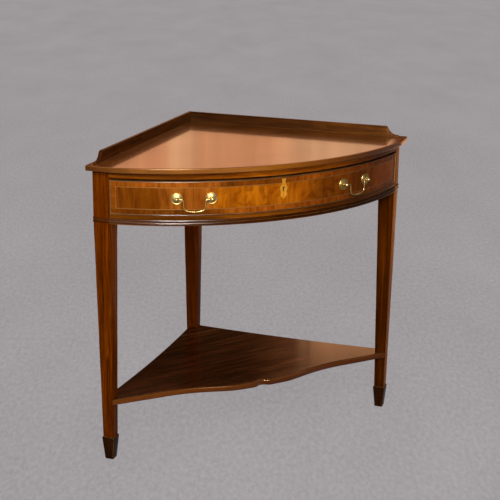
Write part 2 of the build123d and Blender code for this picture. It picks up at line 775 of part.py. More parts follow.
# Core of the drawer's front, rebated for the beads, grooved for the box and let in for the lock
lock_bottom = drawer_top - lock_height
lock_front = frieze_reach - front_thickness + lock_let_in
box_inner = box_width / 2 - box_side_thickness
with BuildPart() as drawer_front:
    with BuildSketch(middle.offset(drawer_bottom)):
        bow_plan(veneer_inner, front_inner, front_end)
    extrude(amount=drawer_top - drawer_bottom)
    with BuildSketch(middle.offset(drawer_bottom)):
        bow_plan(nose_radius, bead_inner, front_end)
        with Locations((0, -band_end * sqrt(2))):
            Rectangle(overrun, overrun, rotation=inward_turn, align=(Align.MIN, Align.MIN), mode=Mode.SUBTRACT)
    extrude(amount=drawer_top - drawer_bottom, mode=Mode.SUBTRACT)
    for rebate_bottom in (drawer_bottom, band_top):
        with BuildSketch(middle.offset(rebate_bottom)):
            bow_plan(nose_radius, bead_inner, front_end)
        extrude(amount=bead_thickness, mode=Mode.SUBTRACT)
    # Stopped housings for the sides
    with BuildSketch(middle.offset(drawer_bottom)):
        for way in (-1, 1):
            with Locations((way * (box_width - box_side_thickness) / 2, -box_rear)):
                Rectangle(box_side_thickness + 2 * glue_gap, overrun, align=(Align.CENTER, Align.MAX))
        with Locations((0, bow_centre)):
            Circle(front_inner + front_housing_depth + glue_gap, mode=Mode.INTERSECT)
    extrude(amount=box_side_height + glue_gap, mode=Mode.SUBTRACT)
    # Groove for the bottom
    with BuildSketch(middle.offset(panel_bottom - glue_gap)):
        with Locations((0, -box_rear)):
            Rectangle(2 * box_inner, overrun, align=(Align.CENTER, Align.MAX))
        with Locations((0, bow_centre)):
            Circle(front_inner + groove_depth, mode=Mode.INTERSECT)
    extrude(amount=box_bottom_thickness + 2 * glue_gap, mode=Mode.SUBTRACT)
    # Recess for the lock, open at the top edge, with its two screw holes
    with BuildSketch(middle.offset(lock_bottom - glue_gap)):
        with Locations((0, -lock_front - glue_gap)):
            Rectangle(lock_width + 2 * glue_gap, overrun, align=(Align.CENTER, Align.MIN))
    extrude(amount=lock_height + glue_gap, mode=Mode.SUBTRACT)
    with BuildSketch(Plane(origin=(0, corner_y - lock_front, 0), x_dir=(1, 0, 0), z_dir=(0, -1, 0))):
        for way in (-1, 1):
            with Locations((way * (lock_width / 2 - lock_screw_inset), lock_bottom + lock_screw_inset)):
                Circle(lock_screw_diameter / 2 + screw_gap)
    extrude(amount=lock_screw_length - lock_let_in - lock_stand + screw_gap, mode=Mode.SUBTRACT)
    with BuildSketch(face_middle):
        keyhole_outline()
    extrude(amount=front_thickness, both=True, mode=Mode.SUBTRACT)
    post_holes()
drawer_front.part.label = "drawer_front"
export_step(drawer_front.part, "parts/drawer_front.step")

# Facings that run the whole width of the drawer: outer and inner radius, end, bottom and height
long_facings = {
    "banding_top": (bow_radius, veneer_inner, band_end, string_top, band_width),
    "banding_bottom": (bow_radius, veneer_inner, band_end, band_bottom, band_width),
    "stringing_top": (bow_radius, veneer_inner, string_end, field_top, stringing_width),
    "stringing_bottom": (bow_radius, veneer_inner, string_end, string_bottom, stringing_width),
    "flame_veneer": (bow_radius, veneer_inner, field_end, field_bottom, field_top - field_bottom),
}
for facing_name, (outer, inner, end, bottom, height) in long_facings.items():
    with BuildPart() as facing:
        with BuildSketch(middle.offset(bottom)):
            bow_plan(outer, inner, end)
        extrude(amount=height)
        add(escutcheon_blank, mode=Mode.SUBTRACT)
        if facing_name == "flame_veneer":
            post_holes()
    facing.part.label = facing_name
    export_step(facing.part, f"parts/{facing_name}.step")

# Bevelled beads along the upper and lower edges
for bead_name, bottom in (("cock_bead_top", band_top), ("cock_bead_bottom", drawer_bottom)):
    with BuildPart() as bead:
        with BuildSketch(bow_plane(-bow_half_angle, bow_radius, bottom)):
            with BuildLine():
                Polyline((0, bead_thickness), (-bead_depth, bead_thickness), (-bead_depth, 0), (0, 0),
                         (bead_projection, bead_bevel), (bead_projection, bead_thickness - bead_bevel),
                         (0, bead_thickness))
            make_face()
        revolve(axis=bow_axis, revolution_arc=2 * bow_half_angle)
        with BuildSketch(middle.offset(bottom)):
            with Locations((0, -front_end * sqrt(2))):
                Rectangle(overrun, overrun, rotation=inward_turn, align=(Align.MIN, Align.MIN))
        extrude(amount=bead_thickness, mode=Mode.INTERSECT)
    bead.part.label = bead_name
    export_step(bead.part, f"parts/{bead_name}.step")

# Facings at the two ends: outer and inner radius, where each starts and stops, bottom and top
end_facings = {
    "cock_bead": (nose_radius, bead_inner, front_end, band_end, band_bottom, band_top),
    "banding": (bow_radius, veneer_inner, band_end, string_end, string_bottom, string_top),
    "stringing": (bow_radius, veneer_inner, string_end, field_end, field_bottom, field_top),
}
for facing_name, (outer, inner, end, stop, bottom, top) in end_facings.items():
    with BuildPart() as facing_left:
        with BuildSketch(middle.offset(bottom)):
            bow_plan(outer, inner, end)
            with Locations((0, -stop * sqrt(2))):
                Rectangle(overrun, overrun, rotation=inward_turn, align=(Align.MIN, Align.MIN), mode=Mode.SUBTRACT)
            Rectangle(overrun, 2 * overrun, align=(Align.MAX, Align.CENTER), mode=Mode.INTERSECT)
        extrude(amount=top - bottom)
        if outer == nose_radius:
            nose = facing_left.edges().filter_by(Axis.Z).filter_by(
                lambda edge: (edge.center() - bow_axis.position - Vector(0, 0, edge.center().Z)).length > bow_radius)
            chamfer(nose, bead_bevel)
    facing_left.part.label = f"{facing_name}_left"
    export_step(facing_left.part, f"parts/{facing_name}_left.step")
    with BuildPart() as facing_right:
        mirror(facing_left.part, about=Plane.YZ)
    facing_right.part.label = f"{facing_name}_right"
    export_step(facing_right.part, f"parts/{facing_name}_right.step")

# Drawer sides, grooved for the bottom and the back
back_rear = box_rear + box_back_inset
with BuildPart() as drawer_side_left:
    with BuildSketch(middle.offset(drawer_bottom)):
        with Locations((-box_width / 2, -box_rear)):
            Rectangle(box_side_thickness, overrun, align=(Align.MIN, Align.MAX))
        with Locations((0, bow_centre)):
            Circle(front_inner + front_housing_depth, mode=Mode.INTERSECT)
    extrude(amount=box_side_height)
    with BuildSketch(middle.offset(panel_bottom - glue_gap)):
        with Locations((-box_inner, -box_rear)):
            Rectangle(groove_depth, overrun, align=(Align.MAX, Align.MAX))
    extrude(amount=box_bottom_thickness + 2 * glue_gap, mode=Mode.SUBTRACT)
    with BuildSketch(middle.offset(panel_top)):
        with Locations((-box_inner, -back_rear + glue_gap)):
            Rectangle(groove_depth, box_back_thickness + 2 * glue_gap, align=(Align.MAX, Align.MAX))
    extrude(amount=box_side_height, mode=Mode.SUBTRACT)
drawer_side_left.part.label = "drawer_side_left"
export_step(drawer_side_left.part, "parts/drawer_side_left.step")

with BuildPart() as drawer_side_right:
    mirror(drawer_side_left.part, about=Plane.YZ)
drawer_side_right.part.label = "drawer_side_right"
export_step(drawer_side_right.part, "parts/drawer_side_right.step")

# Drawer bottom, held in the grooves of the sides and the front
panel_half_width = box_inner + groove_depth - glue_gap
with BuildPart() as drawer_bottom_panel:
    with BuildSketch(middle.offset(panel_bottom)):
        with Locations((0, -box_rear)):
            Rectangle(2 * panel_half_width, overrun, align=(Align.CENTER, Align.MAX))
        with Locations((0, bow_centre)):
            Circle(front_inner + groove_depth - glue_gap, mode=Mode.INTERSECT)
    extrude(amount=box_bottom_thickness)
drawer_bottom_panel.part.label = "drawer_bottom"
export_step(drawer_bottom_panel.part, "parts/drawer_bottom.step")

# Drawer back, standing on the bottom between the sides
with BuildPart() as drawer_back:
    with BuildSketch(middle.offset(panel_top)):
        with Locations((0, -back_rear)):
            Rectangle(2 * panel_half_width, box_back_thickness, align=(Align.CENTER, Align.MAX))
    extrude(amount=box_side_top - box_back_drop - panel_top)
drawer_back.part.label = "drawer_back"
export_step(drawer_back.part, "parts/drawer_back.step")

# Lock: its case with the bolt's slot, the end of the keyhole and two screw holes
lock_plane = Plane(origin=(0, corner_y - lock_front, 0), x_dir=(1, 0, 0), z_dir=(0, -1, 0))
lock_depth = lock_let_in + lock_stand
bolt_bottom = drawer_top - bolt_rest_gap - bolt_height
with BuildPart() as lock_case:
    with BuildSketch(middle.offset(lock_bottom)):
        with Locations((0, -lock_front)):
            Rectangle(lock_width, lock_depth, align=(Align.CENTER, Align.MIN))
    extrude(amount=lock_height)
    with BuildSketch(middle.offset(bolt_bottom - running_gap)):
        with Locations((0, bow_centre - bolt_centre_radius)):
            Rectangle(bolt_width + 2 * running_gap, bolt_thickness + 2 * running_gap)
    extrude(amount=bolt_height + running_gap + bolt_rest_gap, mode=Mode.SUBTRACT)
    with BuildSketch(lock_plane):
        keyhole_outline()
    extrude(amount=-keyhole_depth_in_case, mode=Mode.SUBTRACT)
    with BuildSketch(lock_plane):
        for way in (-1, 1):
            with Locations((way * (lock_width / 2 - lock_screw_inset), lock_bottom + lock_screw_inset)):
                Circle(lock_screw_diameter / 2 + screw_gap)
    extrude(amount=-lock_depth, mode=Mode.SUBTRACT)
lock_case.part.label = "lock_case"
export_step(lock_case.part, "parts/lock_case.step")

with BuildPart() as lock_bolt:
    with BuildSketch(middle.offset(bolt_bottom)):
        with Locations((0, bow_centre - bolt_centre_radius)):
            Rectangle(bolt_width, bolt_thickness)
    extrude(amount=bolt_height)
lock_bolt.part.label = "lock_bolt"
export_step(lock_bolt.part, "parts/lock_bolt.step")

with BuildPart() as lock_screws:
    for way in (-1, 1):
        screw_place = (way * (lock_width / 2 - lock_screw_inset), lock_bottom + lock_screw_inset)
        with BuildSketch(lock_plane.offset(-lock_depth)):
            with Locations(screw_place):
                Circle(lock_screw_diameter / 2)
        extrude(amount=lock_screw_length)
        with BuildSketch(lock_plane.offset(-lock_depth)):
            with Locations(screw_place):
                Circle(lock_screw_head / 2)
        extrude(amount=-lock_screw_head_height)
lock_screws.part.label = "lock_screws"
export_step(lock_screws.part, "parts/lock_screws.step")


def turning_plane(plane):
    """Plane for a turned profile on a face plane: x from its middle, y outwards."""
    return Plane(origin=plane.origin, x_dir=plane.x_dir, z_dir=(0, 0, -1))


# Brass handles: two dished roses, two ball-ended posts, their nuts and a swinging bail each
ball_radius = ball_diameter / 2
ball_foot = post_reach - sqrt(ball_radius**2 - (neck_diameter / 2)**2)
rose_radius = rosette_diameter / 2
rose_dish_radius = rose_radius - rosette_rim_width
nut_seat = front_thickness + glue_gap
for side in handle_angles:
    with BuildPart() as handle_roses:
        for plane in post_planes(side):
            with BuildSketch(turning_plane(plane)):
                with BuildLine():
                    Polyline((rose_dish_radius, rosette_dish_height), (rosette_boss_diameter / 2, rosette_dish_height),
                             (neck_diameter / 2, rosette_boss_height),
                             (shank_diameter / 2 + glue_gap, rosette_boss_height),
                             (shank_diameter / 2 + glue_gap, 0), (rose_radius, 0), (rose_radius, rosette_edge_height))
                    ThreePointArc((rose_radius, rosette_edge_height),
                                  (rose_radius - rosette_rim_width / 2, rosette_rim_height),
                                  (rose_dish_radius, rosette_dish_height))
                make_face()
            revolve(axis=Axis(plane.origin, plane.z_dir))
    handle_roses.part.label = f"handle_roses_{side}"
    export_step(handle_roses.part, f"parts/handle_roses_{side}.step")

    hinge = face_plane(handle_angles[side], hinge_radius, handle_height)
    pin_end = post_spacing / 2 - ball_radius + pivot_depth
    with BuildPart() as handle_posts:
        for plane in post_planes(side):
            with BuildSketch(turning_plane(plane)):
                with BuildLine():
                    shank = Polyline((0, post_reach + ball_radius),
                                     (0, -nut_seat - nut_thickness - shank_end),
                                     (shank_diameter / 2, -nut_seat - nut_thickness - shank_end),
                                     (shank_diameter / 2, rosette_boss_height),
                                     (neck_diameter / 2, rosette_boss_height),
                                     (neck_diameter / 2, ball_foot))
                    ThreePointArc(shank @ 1, (ball_radius, post_reach), shank @ 0)
                make_face()
            revolve(axis=Axis(plane.origin, plane.z_dir))
        with BuildSketch(Plane(origin=hinge.origin, z_dir=hinge.x_dir)):
            Circle(bail_diameter / 2 + pivot_gap)
        extrude(amount=pin_end + bail_end_gap, both=True, mode=Mode.SUBTRACT)
    handle_posts.part.label = f"handle_posts_{side}"
    export_step(handle_posts.part, f"parts/handle_posts_{side}.step")

    with BuildPart() as handle_nuts:
        for plane in post_planes(side):
            with BuildSketch(plane.offset(-nut_seat)):
                Rectangle(nut_width, nut_width)
                Circle(shank_diameter / 2 + glue_gap, mode=Mode.SUBTRACT)
            extrude(amount=-nut_thickness)
    handle_nuts.part.label = f"handle_nuts_{side}"
    export_step(handle_nuts.part, f"parts/handle_nuts_{side}.step")

    # Bail: pins in the balls, shoulders, straight arms and a gently bowed bottom
    half_shoulder = bail_shoulder_width / 2
    half_foot = bail_foot_width / 2
    with BuildPart() as bail:
        with BuildLine(hinge) as bail_path:
            FilletPolyline((-pin_end, 0), (-half_shoulder, 0), (-half_foot, -bail_drop),
                           (0, -bail_drop - bail_sag), (half_foot, -bail_drop), (half_shoulder, 0), (pin_end, 0),
                           radius=[bail_shoulder_radius, bail_corner_radius, bail_bottom_radius,
                                   bail_corner_radius, bail_shoulder_radius])
        with BuildSketch(Plane(origin=bail_path.line @ 0, z_dir=bail_path.line % 0)):
            Circle(bail_diameter / 2)
        sweep()
    bail.part.label = f"bail_{side}"
    export_step(bail.part, f"parts/bail_{side}.step")
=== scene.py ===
import json
import math
import bmesh
import bpy
import numpy as np
from mathutils import Matrix, Vector


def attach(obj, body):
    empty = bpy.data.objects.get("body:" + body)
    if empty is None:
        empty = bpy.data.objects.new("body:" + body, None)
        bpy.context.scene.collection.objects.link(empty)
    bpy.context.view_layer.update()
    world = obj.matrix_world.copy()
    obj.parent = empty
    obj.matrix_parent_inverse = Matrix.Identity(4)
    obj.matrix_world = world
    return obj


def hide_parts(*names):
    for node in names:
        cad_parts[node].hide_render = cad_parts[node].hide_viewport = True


# Bow-fronted corner table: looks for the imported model. Metres, Z up, the drawer faces -Y.
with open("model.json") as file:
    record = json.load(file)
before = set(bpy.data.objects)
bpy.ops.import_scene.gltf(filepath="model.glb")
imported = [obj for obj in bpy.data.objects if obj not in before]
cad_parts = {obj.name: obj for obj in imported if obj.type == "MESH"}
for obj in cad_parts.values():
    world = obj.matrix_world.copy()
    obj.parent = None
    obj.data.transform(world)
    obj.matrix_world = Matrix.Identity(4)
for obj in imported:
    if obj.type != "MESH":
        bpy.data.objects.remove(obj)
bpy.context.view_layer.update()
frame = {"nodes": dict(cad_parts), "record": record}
nodes = frame["nodes"]
mm = 0.001
rootHalf = math.sqrt(0.5)

# Measures of the table that the new pieces share, in millimetres
table = {
    "armLength": 600, "legSize": 42.5, "bowRise": 131.5, "topFront": 14, "wallOverhang": 10,
    "friezeBottom": 618, "friezeTop": 747, "topHeight": 760,
    "drawerBottom": 643.5, "drawerTop": 725.5, "drawerEnd": 43.7, "handleHeight": 685,
}
bowReach = (table["armLength"] + table["legSize"]) * rootHalf + table["bowRise"]
halfChord = (table["armLength"] - table["legSize"]) * rootHalf
bowRadius = (halfChord ** 2 + table["bowRise"] ** 2) / (2 * table["bowRise"])
cornerY = (bowReach + table["topFront"] - table["wallOverhang"] / rootHalf) / 2
axisY = cornerY + bowRadius - bowReach
bowHalfAngle = math.asin(halfChord / bowRadius)


# Small helpers
def hexLinear(text):
    # sRGB hex to linear: below 0.04045 a straight line, above it a power of 2.4
    parts = [int(text[i:i + 2], 16) / 255 for i in (1, 3, 5)]
    return tuple(p / 12.92 if p <= 0.04045 else ((p + 0.055) / 1.055) ** 2.4 for p in parts) + (1.0,)


def addNode(tree, kind, inputs=None, stops=None, **settings):
    # One node, its settings, its colour stops, and its inputs: a socket, or a node for its first output
    # in use, is linked, and anything else is a value
    node = tree.nodes.new("ShaderNode" + kind)
    for name, value in settings.items():
        setattr(node, name, value)
    if stops:
        while len(node.color_ramp.elements) < len(stops):
            node.color_ramp.elements.new(0.5)
        for element, (place, colour) in zip(node.color_ramp.elements, stops):
            element.position = place
            element.color = hexLinear(colour) if isinstance(colour, str) else (colour, colour, colour, 1)
    for key, value in (inputs or {}).items():
        if isinstance(value, bpy.types.Node):
            value = next(output for output in value.outputs if output.enabled)
        if isinstance(value, bpy.types.NodeSocket):
            tree.links.new(value, node.inputs[key])
        else:
            node.inputs[key].default_value = value
    return node


def emptyMaterial(name):
    material = bpy.data.materials.new(name)
    material.use_nodes = True
    material.node_tree.nodes.clear()
    return material, material.node_tree


def intoScene(name, data):
    # A new object with this mesh, lamp or lens, linked into the scene
    thing = bpy.data.objects.new(name, data)
    bpy.context.scene.collection.objects.link(thing)
    return thing


def fromArms(downLeft, downRight):
    # Points in plan, given by their distances down the two arms: x is their difference and y the corner
    # less their sum, both times the root of a half
    return np.stack([(downRight - downLeft) * rootHalf, cornerY - (downLeft + downRight) * rootHalf], -1)


# Wood
# What the range nodes count from (1) and to (2): parts of a noise, of a normal's turn or of the open sky
# that a point sees, and places along the table in metres
spans = {"noise": {1: 0.3, 2: 0.7}, "stripe": {1: 0.28, 2: 0.72}, "pore": {1: 0.6, 2: 0.72},
         "offLevel": {1: 0.98, 2: 0.75}, "offUpright": {1: 0.15, 2: 0.5}, "arris": {1: 0.995, 2: 0.86},
         "litFacing": {1: 0.75, 2: 0.95}, "upright": {1: 0.75, 2: 0.25}, "rounding": {1: 0.995, 2: 0.95},
         "hollow": {1: 0.25, 2: 0.8}, "bow": {1: -0.4, 2: 0.4}, "table": {1: -0.45, 2: 0.45}}
# Figures that all the woods share. A fibre and a pore are this many times as long as they are wide.
pattern = {"fibreLong": 45, "poreLong": 14, "edgeLines": (0.72, 1.25), "edgeCoat": 0.1,
           "glossSwing": (0.8, 1.25), "bumpMm": 0.25, "shadedShare": 0.3, "shadeMm": 15}


def grainSpace(tree, wood):
    # Object coordinates turned so that x runs along the grain's own frame. On the bow, x is the length
    # along the arc, which is the angle round the bow's axis times its radius, and y is the depth.
    place = addNode(tree, "TexCoord").outputs["Object"]
    if wood["lay"] != "bow":
        return addNode(tree, "Mapping", {"Vector": place, "Rotation": (0, 0, math.radians(wood["lay"]))})
    parts = addNode(tree, "SeparateXYZ", {0: place})
    back = addNode(tree, "Math", {0: axisY * mm, 1: parts.outputs["Y"]}, operation="SUBTRACT")
    angle = addNode(tree, "Math", {0: parts.outputs["X"], 1: back}, operation="ARCTAN2")
    along = addNode(tree, "Math", {0: angle, 1: bowRadius * mm}, operation="MULTIPLY")
    flat = addNode(tree, "CombineXYZ", {0: parts.outputs["X"], 1: back, 2: 0})
    depth = addNode(tree, "VectorMath", {0: flat}, operation="LENGTH")
    return addNode(tree, "CombineXYZ", {0: along, 1: depth, 2: parts.outputs["Z"]})


def woodFinish(name, wood):
    # Planed and french-polished wood: stripes from the saw cut, fine fibres, short dark pores, soft clouds
    material, tree = emptyMaterial(name)
    space = grainSpace(tree, wood)
    spaceParts = addNode(tree, "SeparateXYZ", {0: space})
    along = "xyz".index(wood["grain"])

    wander = addNode(tree, "TexNoise", {"Vector": space, "Scale": 1 / (wood["waveMm"] * mm), "Detail": 1.0})
    centred = addNode(tree, "VectorMath", {0: wander.outputs["Color"], 1: (0.5, 0.5, 0.5)},
                      operation="SUBTRACT")
    sway = addNode(tree, "VectorMath", {0: centred, "Scale": wood["swayMm"] * mm}, operation="SCALE")
    bent = addNode(tree, "VectorMath", {0: space, 1: sway})
    bentParts = addNode(tree, "SeparateXYZ", {0: bent})

    def stretched(acrossMm, lengthMm, detail, distortion=0.0, rough=0.5):
        # Noise squeezed to one width across the grain and one length along it
        scale = [1 / (acrossMm * mm)] * 3
        scale[along] = 1 / (lengthMm * mm)
        spot = addNode(tree, "VectorMath", {0: bent, 1: tuple(scale)}, operation="MULTIPLY")
        return addNode(tree, "TexNoise", {"Vector": spot, "Scale": 1.0, "Detail": detail, "Roughness": rough,
                       "Distortion": distortion})

    stripe = stretched(wood["stripeMm"], wood["stripeMm"] * wood["stripeLong"], 2.0, 0.3)
    fibre = stretched(wood["fibreMm"], wood["fibreMm"] * pattern["fibreLong"], 3.0)
    pore = stretched(wood["poreMm"], wood["poreMm"] * pattern["poreLong"], 1.0)
    mixed = addNode(tree, "Mix", {0: wood["fibreShare"], 2: stripe, 3: fibre})
    spread = addNode(tree, "MapRange", {0: mixed, **spans["stripe"]})
    colour = addNode(tree, "ValToRGB", {0: spread},
                     stops=[(0.0, wood["dark"]), (0.5, wood["body"]), (1.0, wood["pale"])])

    if "flame" in wood:
        # Figure over the ground colour, as strong along the bow as its fade says. On the shelf these lighter
        # streaks also stand in for streaky reflections: a painted reflection, strongest towards the right.
        flame = wood["flame"]
        swirl = stretched(flame["acrossMm"], flame["lengthMm"], 4.0, flame["distortion"], 0.6)
        mask = addNode(tree, "ValToRGB", {0: swirl}, stops=[(flame["from"], 0.0), (flame["to"], 1.0)])
        place = addNode(tree, "MapRange", {0: bentParts, **spans["bow"]})
        fade = addNode(tree, "ValToRGB", {0: place}, stops=flame["fade"])
        figured = addNode(tree, "Math", {0: mask, 1: fade}, operation="MULTIPLY")
        strength = addNode(tree, "Math", {0: figured, 1: flame["share"]}, operation="MULTIPLY")
        colour = addNode(tree, "Mix", {0: strength, 6: colour, 7: hexLinear(flame["colour"])},
                         data_type="RGBA")
    if "tonesAlong" in wood:
        # Tones along one axis of the grain space, multiplied in: leaves of veneer side by side, painted light
        # and shade where the light along the bow rises and falls, and the legs' darkening towards the floor
        tonesAlong = wood["tonesAlong"]
        low, high = tonesAlong["spanMm"]
        place = addNode(tree, "MapRange",
                        {0: bentParts.outputs[tonesAlong["axis"]], 1: low * mm, 2: high * mm})
        tone = addNode(tree, "ValToRGB", {0: place}, stops=tonesAlong["stops"])
        colour = addNode(tree, "Mix", {0: 1.0, 6: colour, 7: tone}, data_type="RGBA", blend_type="MULTIPLY")

    cloud = addNode(tree, "TexNoise", {"Vector": bent, "Scale": 1 / (wood["cloudMm"] * mm), "Detail": 2.0})
    light = addNode(tree, "MapRange", {0: cloud, **spans["noise"],
                    3: 1 - wood["cloud"], 4: 1 + wood["cloud"]})
    shaded = addNode(tree, "VectorMath", {0: colour, "Scale": light}, operation="SCALE")
    poreMask = addNode(tree, "MapRange", {0: pore, **spans["pore"], 4: wood["pore"]})
    pored = addNode(tree, "Mix", {0: poreMask, 6: shaded, 7: hexLinear(wood["dark"])}, data_type="RGBA")

    # The arrises are rubbed pale. A piece with real rounding shows where its normal leaves the level and
    # the upright, any other piece where a rounded normal leaves the true one.
    normal = addNode(tree, "NewGeometry").outputs["Normal"]
    if "roundedEdge" in wood:
        level = addNode(tree, "SeparateXYZ", {0: normal}).outputs["Z"]
        leaving = addNode(tree, "MapRange", {0: level, **spans["offLevel"]})
        arriving = addNode(tree, "MapRange", {0: level, **spans["offUpright"], 4: wood["roundedEdge"]})
        edge = addNode(tree, "Math", {0: leaving, 1: arriving}, operation="MULTIPLY")
        bumpNormal = normal
    else:
        bumpNormal = addNode(tree, "Bevel", {"Radius": wood["wearMm"] * mm}, samples=4)
        agrees = addNode(tree, "VectorMath", {0: normal, 1: bumpNormal}, operation="DOT_PRODUCT")
        edge = addNode(tree, "MapRange", {0: agrees, **spans["arris"], 4: wood["wear"]})
    patchy = addNode(tree, "Math", {0: edge, 1: light}, operation="MULTIPLY")
    tone = addNode(tree, "Mix", {0: patchy, 6: pored, 7: hexLinear(wood["worn"])}, data_type="RGBA")

    coat = wood["coat"]
    if "litFace" in wood:
        # Painted light: faces lighten by how far their normal agrees with one way, and less above a height,
        # which keeps painted shade there
        litSide = wood["litFace"]
        agrees = addNode(tree, "VectorMath", {0: normal, 1: litSide["way"]}, operation="DOT_PRODUCT")
        facing = addNode(tree, "MapRange", {0: agrees, **spans["litFacing"]})
        under = addNode(tree, "MapRange", {
            0: spaceParts.outputs["Z"], 1: (litSide["topMm"] - pattern["shadeMm"]) * mm,
            2: (litSide["topMm"] + pattern["shadeMm"]) * mm, 3: 1.0, 4: pattern["shadedShare"]})
        share = addNode(tree, "Math", {0: facing, 1: under}, operation="MULTIPLY")
        tone = addNode(tree, "Mix", {0: share, 6: tone, 7: hexLinear(litSide["litTone"])}, data_type="RGBA",
                       blend_type="SCREEN")
    if "edgeTonesAndShade" in wood:
        # Upright edges show cleaner wood, with painted light and shade along the table's x, and the polish is
        # thin on them
        place = addNode(tree, "MapRange", {0: spaceParts, **spans["table"]})
        clean = addNode(tree, "ValToRGB", {0: place}, stops=wood["edgeTonesAndShade"])
        lineLow, lineHigh = pattern["edgeLines"]
        lines = addNode(tree, "MapRange", {0: mixed, **spans["stripe"], 3: lineLow, 4: lineHigh})
        clean = addNode(tree, "VectorMath", {0: clean, "Scale": lines}, operation="SCALE")
        upright = addNode(tree, "MapRange", {0: level, **spans["upright"]})
        tone = addNode(tree, "Mix", {0: upright, 6: tone, 7: clean}, data_type="RGBA")
        coat = addNode(tree, "MapRange",
                       {0: level, **spans["rounding"], 3: coat, 4: coat * pattern["edgeCoat"]})
    if "polishEndsMm" in wood:
        # The polish thins out along the bow, between these two places
        start, end = wood["polishEndsMm"]
        coat = addNode(tree, "MapRange", {0: spaceParts, 1: start * mm, 2: end * mm, 3: coat, 4: 0})

    glossy, dull = pattern["glossSwing"]
    gloss = addNode(tree, "MapRange", {0: cloud, **spans["noise"],
                    3: wood["roughness"] * glossy, 4: wood["roughness"] * dull})
    height = addNode(tree, "Math", {0: fibre, 1: poreMask}, operation="SUBTRACT")
    bump = addNode(tree, "Bump", {"Height": height, "Strength": wood["bump"],
                   "Distance": pattern["bumpMm"] * mm, "Normal": bumpNormal})
    shader = addNode(tree, "BsdfPrincipled", {
        "Base Color": tone, "Roughness": gloss, "IOR": wood["ior"], "Specular IOR Level": wood["specular"],
        "Specular Tint": hexLinear(wood["shellac"]), "Coat Weight": coat,
        "Coat Roughness": wood["coatRoughness"], "Normal": bump})
    addNode(tree, "OutputMaterial", {0: shader})
    return material


casting = {"hollowMm": 2.5, "gritMm": 0.8, "gritDeepMm": 0.05, "gritShare": 0.06, "dull": 1.4, "bright": 0.8}


def castMetal(name, metal):
    # Cast or turned metal, bright on its high parts and browned in its hollows
    material, tree = emptyMaterial(name)
    place = addNode(tree, "TexCoord").outputs["Object"]
    stain = addNode(tree, "TexNoise", {"Vector": place, "Scale": 1 / (metal["stainMm"] * mm), "Detail": 4.0,
                    "Roughness": 0.65})
    colour = addNode(tree, "ValToRGB", {0: stain},
                     stops=[(0.3, metal["dark"]), (0.5, metal["body"]), (0.7, metal["pale"])])
    hollow = addNode(tree, "AmbientOcclusion", {"Distance": casting["hollowMm"] * mm}, samples=4,
                     only_local=True)
    shade = addNode(tree, "MapRange", {0: hollow.outputs["AO"], **spans["hollow"]})
    grimed = addNode(tree, "Mix", {0: shade, 6: hexLinear(metal["grime"]), 7: colour}, data_type="RGBA")
    gloss = addNode(tree, "MapRange", {0: stain, **spans["noise"], 3: metal["roughness"] * casting["dull"],
                    4: metal["roughness"] * casting["bright"]})
    grit = addNode(tree, "TexNoise", {"Vector": place, "Scale": 1 / (casting["gritMm"] * mm), "Detail": 2.0})
    bump = addNode(tree, "Bump", {"Height": grit, "Strength": casting["gritShare"],
                   "Distance": casting["gritDeepMm"] * mm})
    shader = addNode(tree, "BsdfPrincipled", {
        "Base Color": grimed, "Metallic": 1.0, "Roughness": gloss, "Normal": bump})
    addNode(tree, "OutputMaterial", {0: shader})
    return material


# French-polished mahogany: warm brown stripes under a soft gloss. Its fibres and pores are drawn wider than
# real ones, which are too fine to show. The other woods start from it.
polish = {"pale": "#A05C14", "body": "#703A06", "dark": "#381800", "worn": "#B4783C", "shellac": "#FFC080",
          "lay": 0, "grain": "x", "waveMm": 160, "swayMm": 14, "stripeMm": 9, "stripeLong": 22,
          "fibreMm": 1.1, "fibreShare": 0.35, "poreMm": 0.7, "pore": 0.45, "cloudMm": 90, "cloud": 0.16,
          "wearMm": 1.6, "wear": 0.35, "bump": 0.25, "roughness": 0.3, "ior": 1.5, "specular": 0.35,
          "coat": 0.0, "coatRoughness": 0.12}
# Painted shade along the bow from left to right, as shares of the wood's own colour: the right end, turned
# from the light, darker. The tables below start from it.
paintedShadeRight = {"spanMm": (-400, 400), "axis": 0, "stops": [
              (0.0, "#FFFFFF"), (0.5, "#F0ECE8"), (0.64, "#D4CCC0"), (0.8, "#A89A88"), (1.0, "#8C7C6C")]}
# Top band: a darker leaf left of the middle, and painted shade towards the right
topBandLeafAndShade = dict(paintedShadeRight, stops=[
    (0.0, "#FFFFFF"), (0.29, "#FFFFFF"), (0.33, "#B8B4A8"), (0.49, "#B8B0A0"), (0.53, "#F0E8E0"),
    (0.66, "#D0C4B4"), (0.85, "#A09080"), (1.0, "#907C6C")])
# Low band: darker at the left, with a painted shadow of the handle's bail, and painted shade towards the
# right
lowBandShadowAndShade = dict(paintedShadeRight, stops=[
    (0.0, "#B4B0A4"), (0.27, "#ACA898"), (0.31, "#FFFFFF"), (0.47, "#FFF8F0"), (0.6, "#D8CCC0"),
    (0.8, "#A89A88"), (1.0, "#8C7C6C")])
# Drawer field: leaves of veneer side by side with painted light, brightest left of the middle, and painted
# shade towards the right
fieldLeavesAndLight = dict(paintedShadeRight, stops=[
    (0.0, "#BCB090"), (0.11, "#BCB088"), (0.13, "#ECE4EC"), (0.16, "#E8E0E8"), (0.19, "#E8E0F0"),
    (0.27, "#E8E0F0"), (0.3, "#FFF894"), (0.5, "#FFF494"), (0.57, "#F4E498"), (0.62, "#C4B488"),
    (0.69, "#A89878"), (0.85, "#A09058"), (0.93, "#B09450"), (1.0, "#B89850")])
# Reeds: painted shade, deepening towards the right
reedShade = dict(paintedShadeRight, stops=[
    (0.0, "#FFFFFF"), (0.5, "#E0D8D0"), (0.64, "#B0A89C"), (0.8, "#6C6458"), (1.0, "#544C44")])
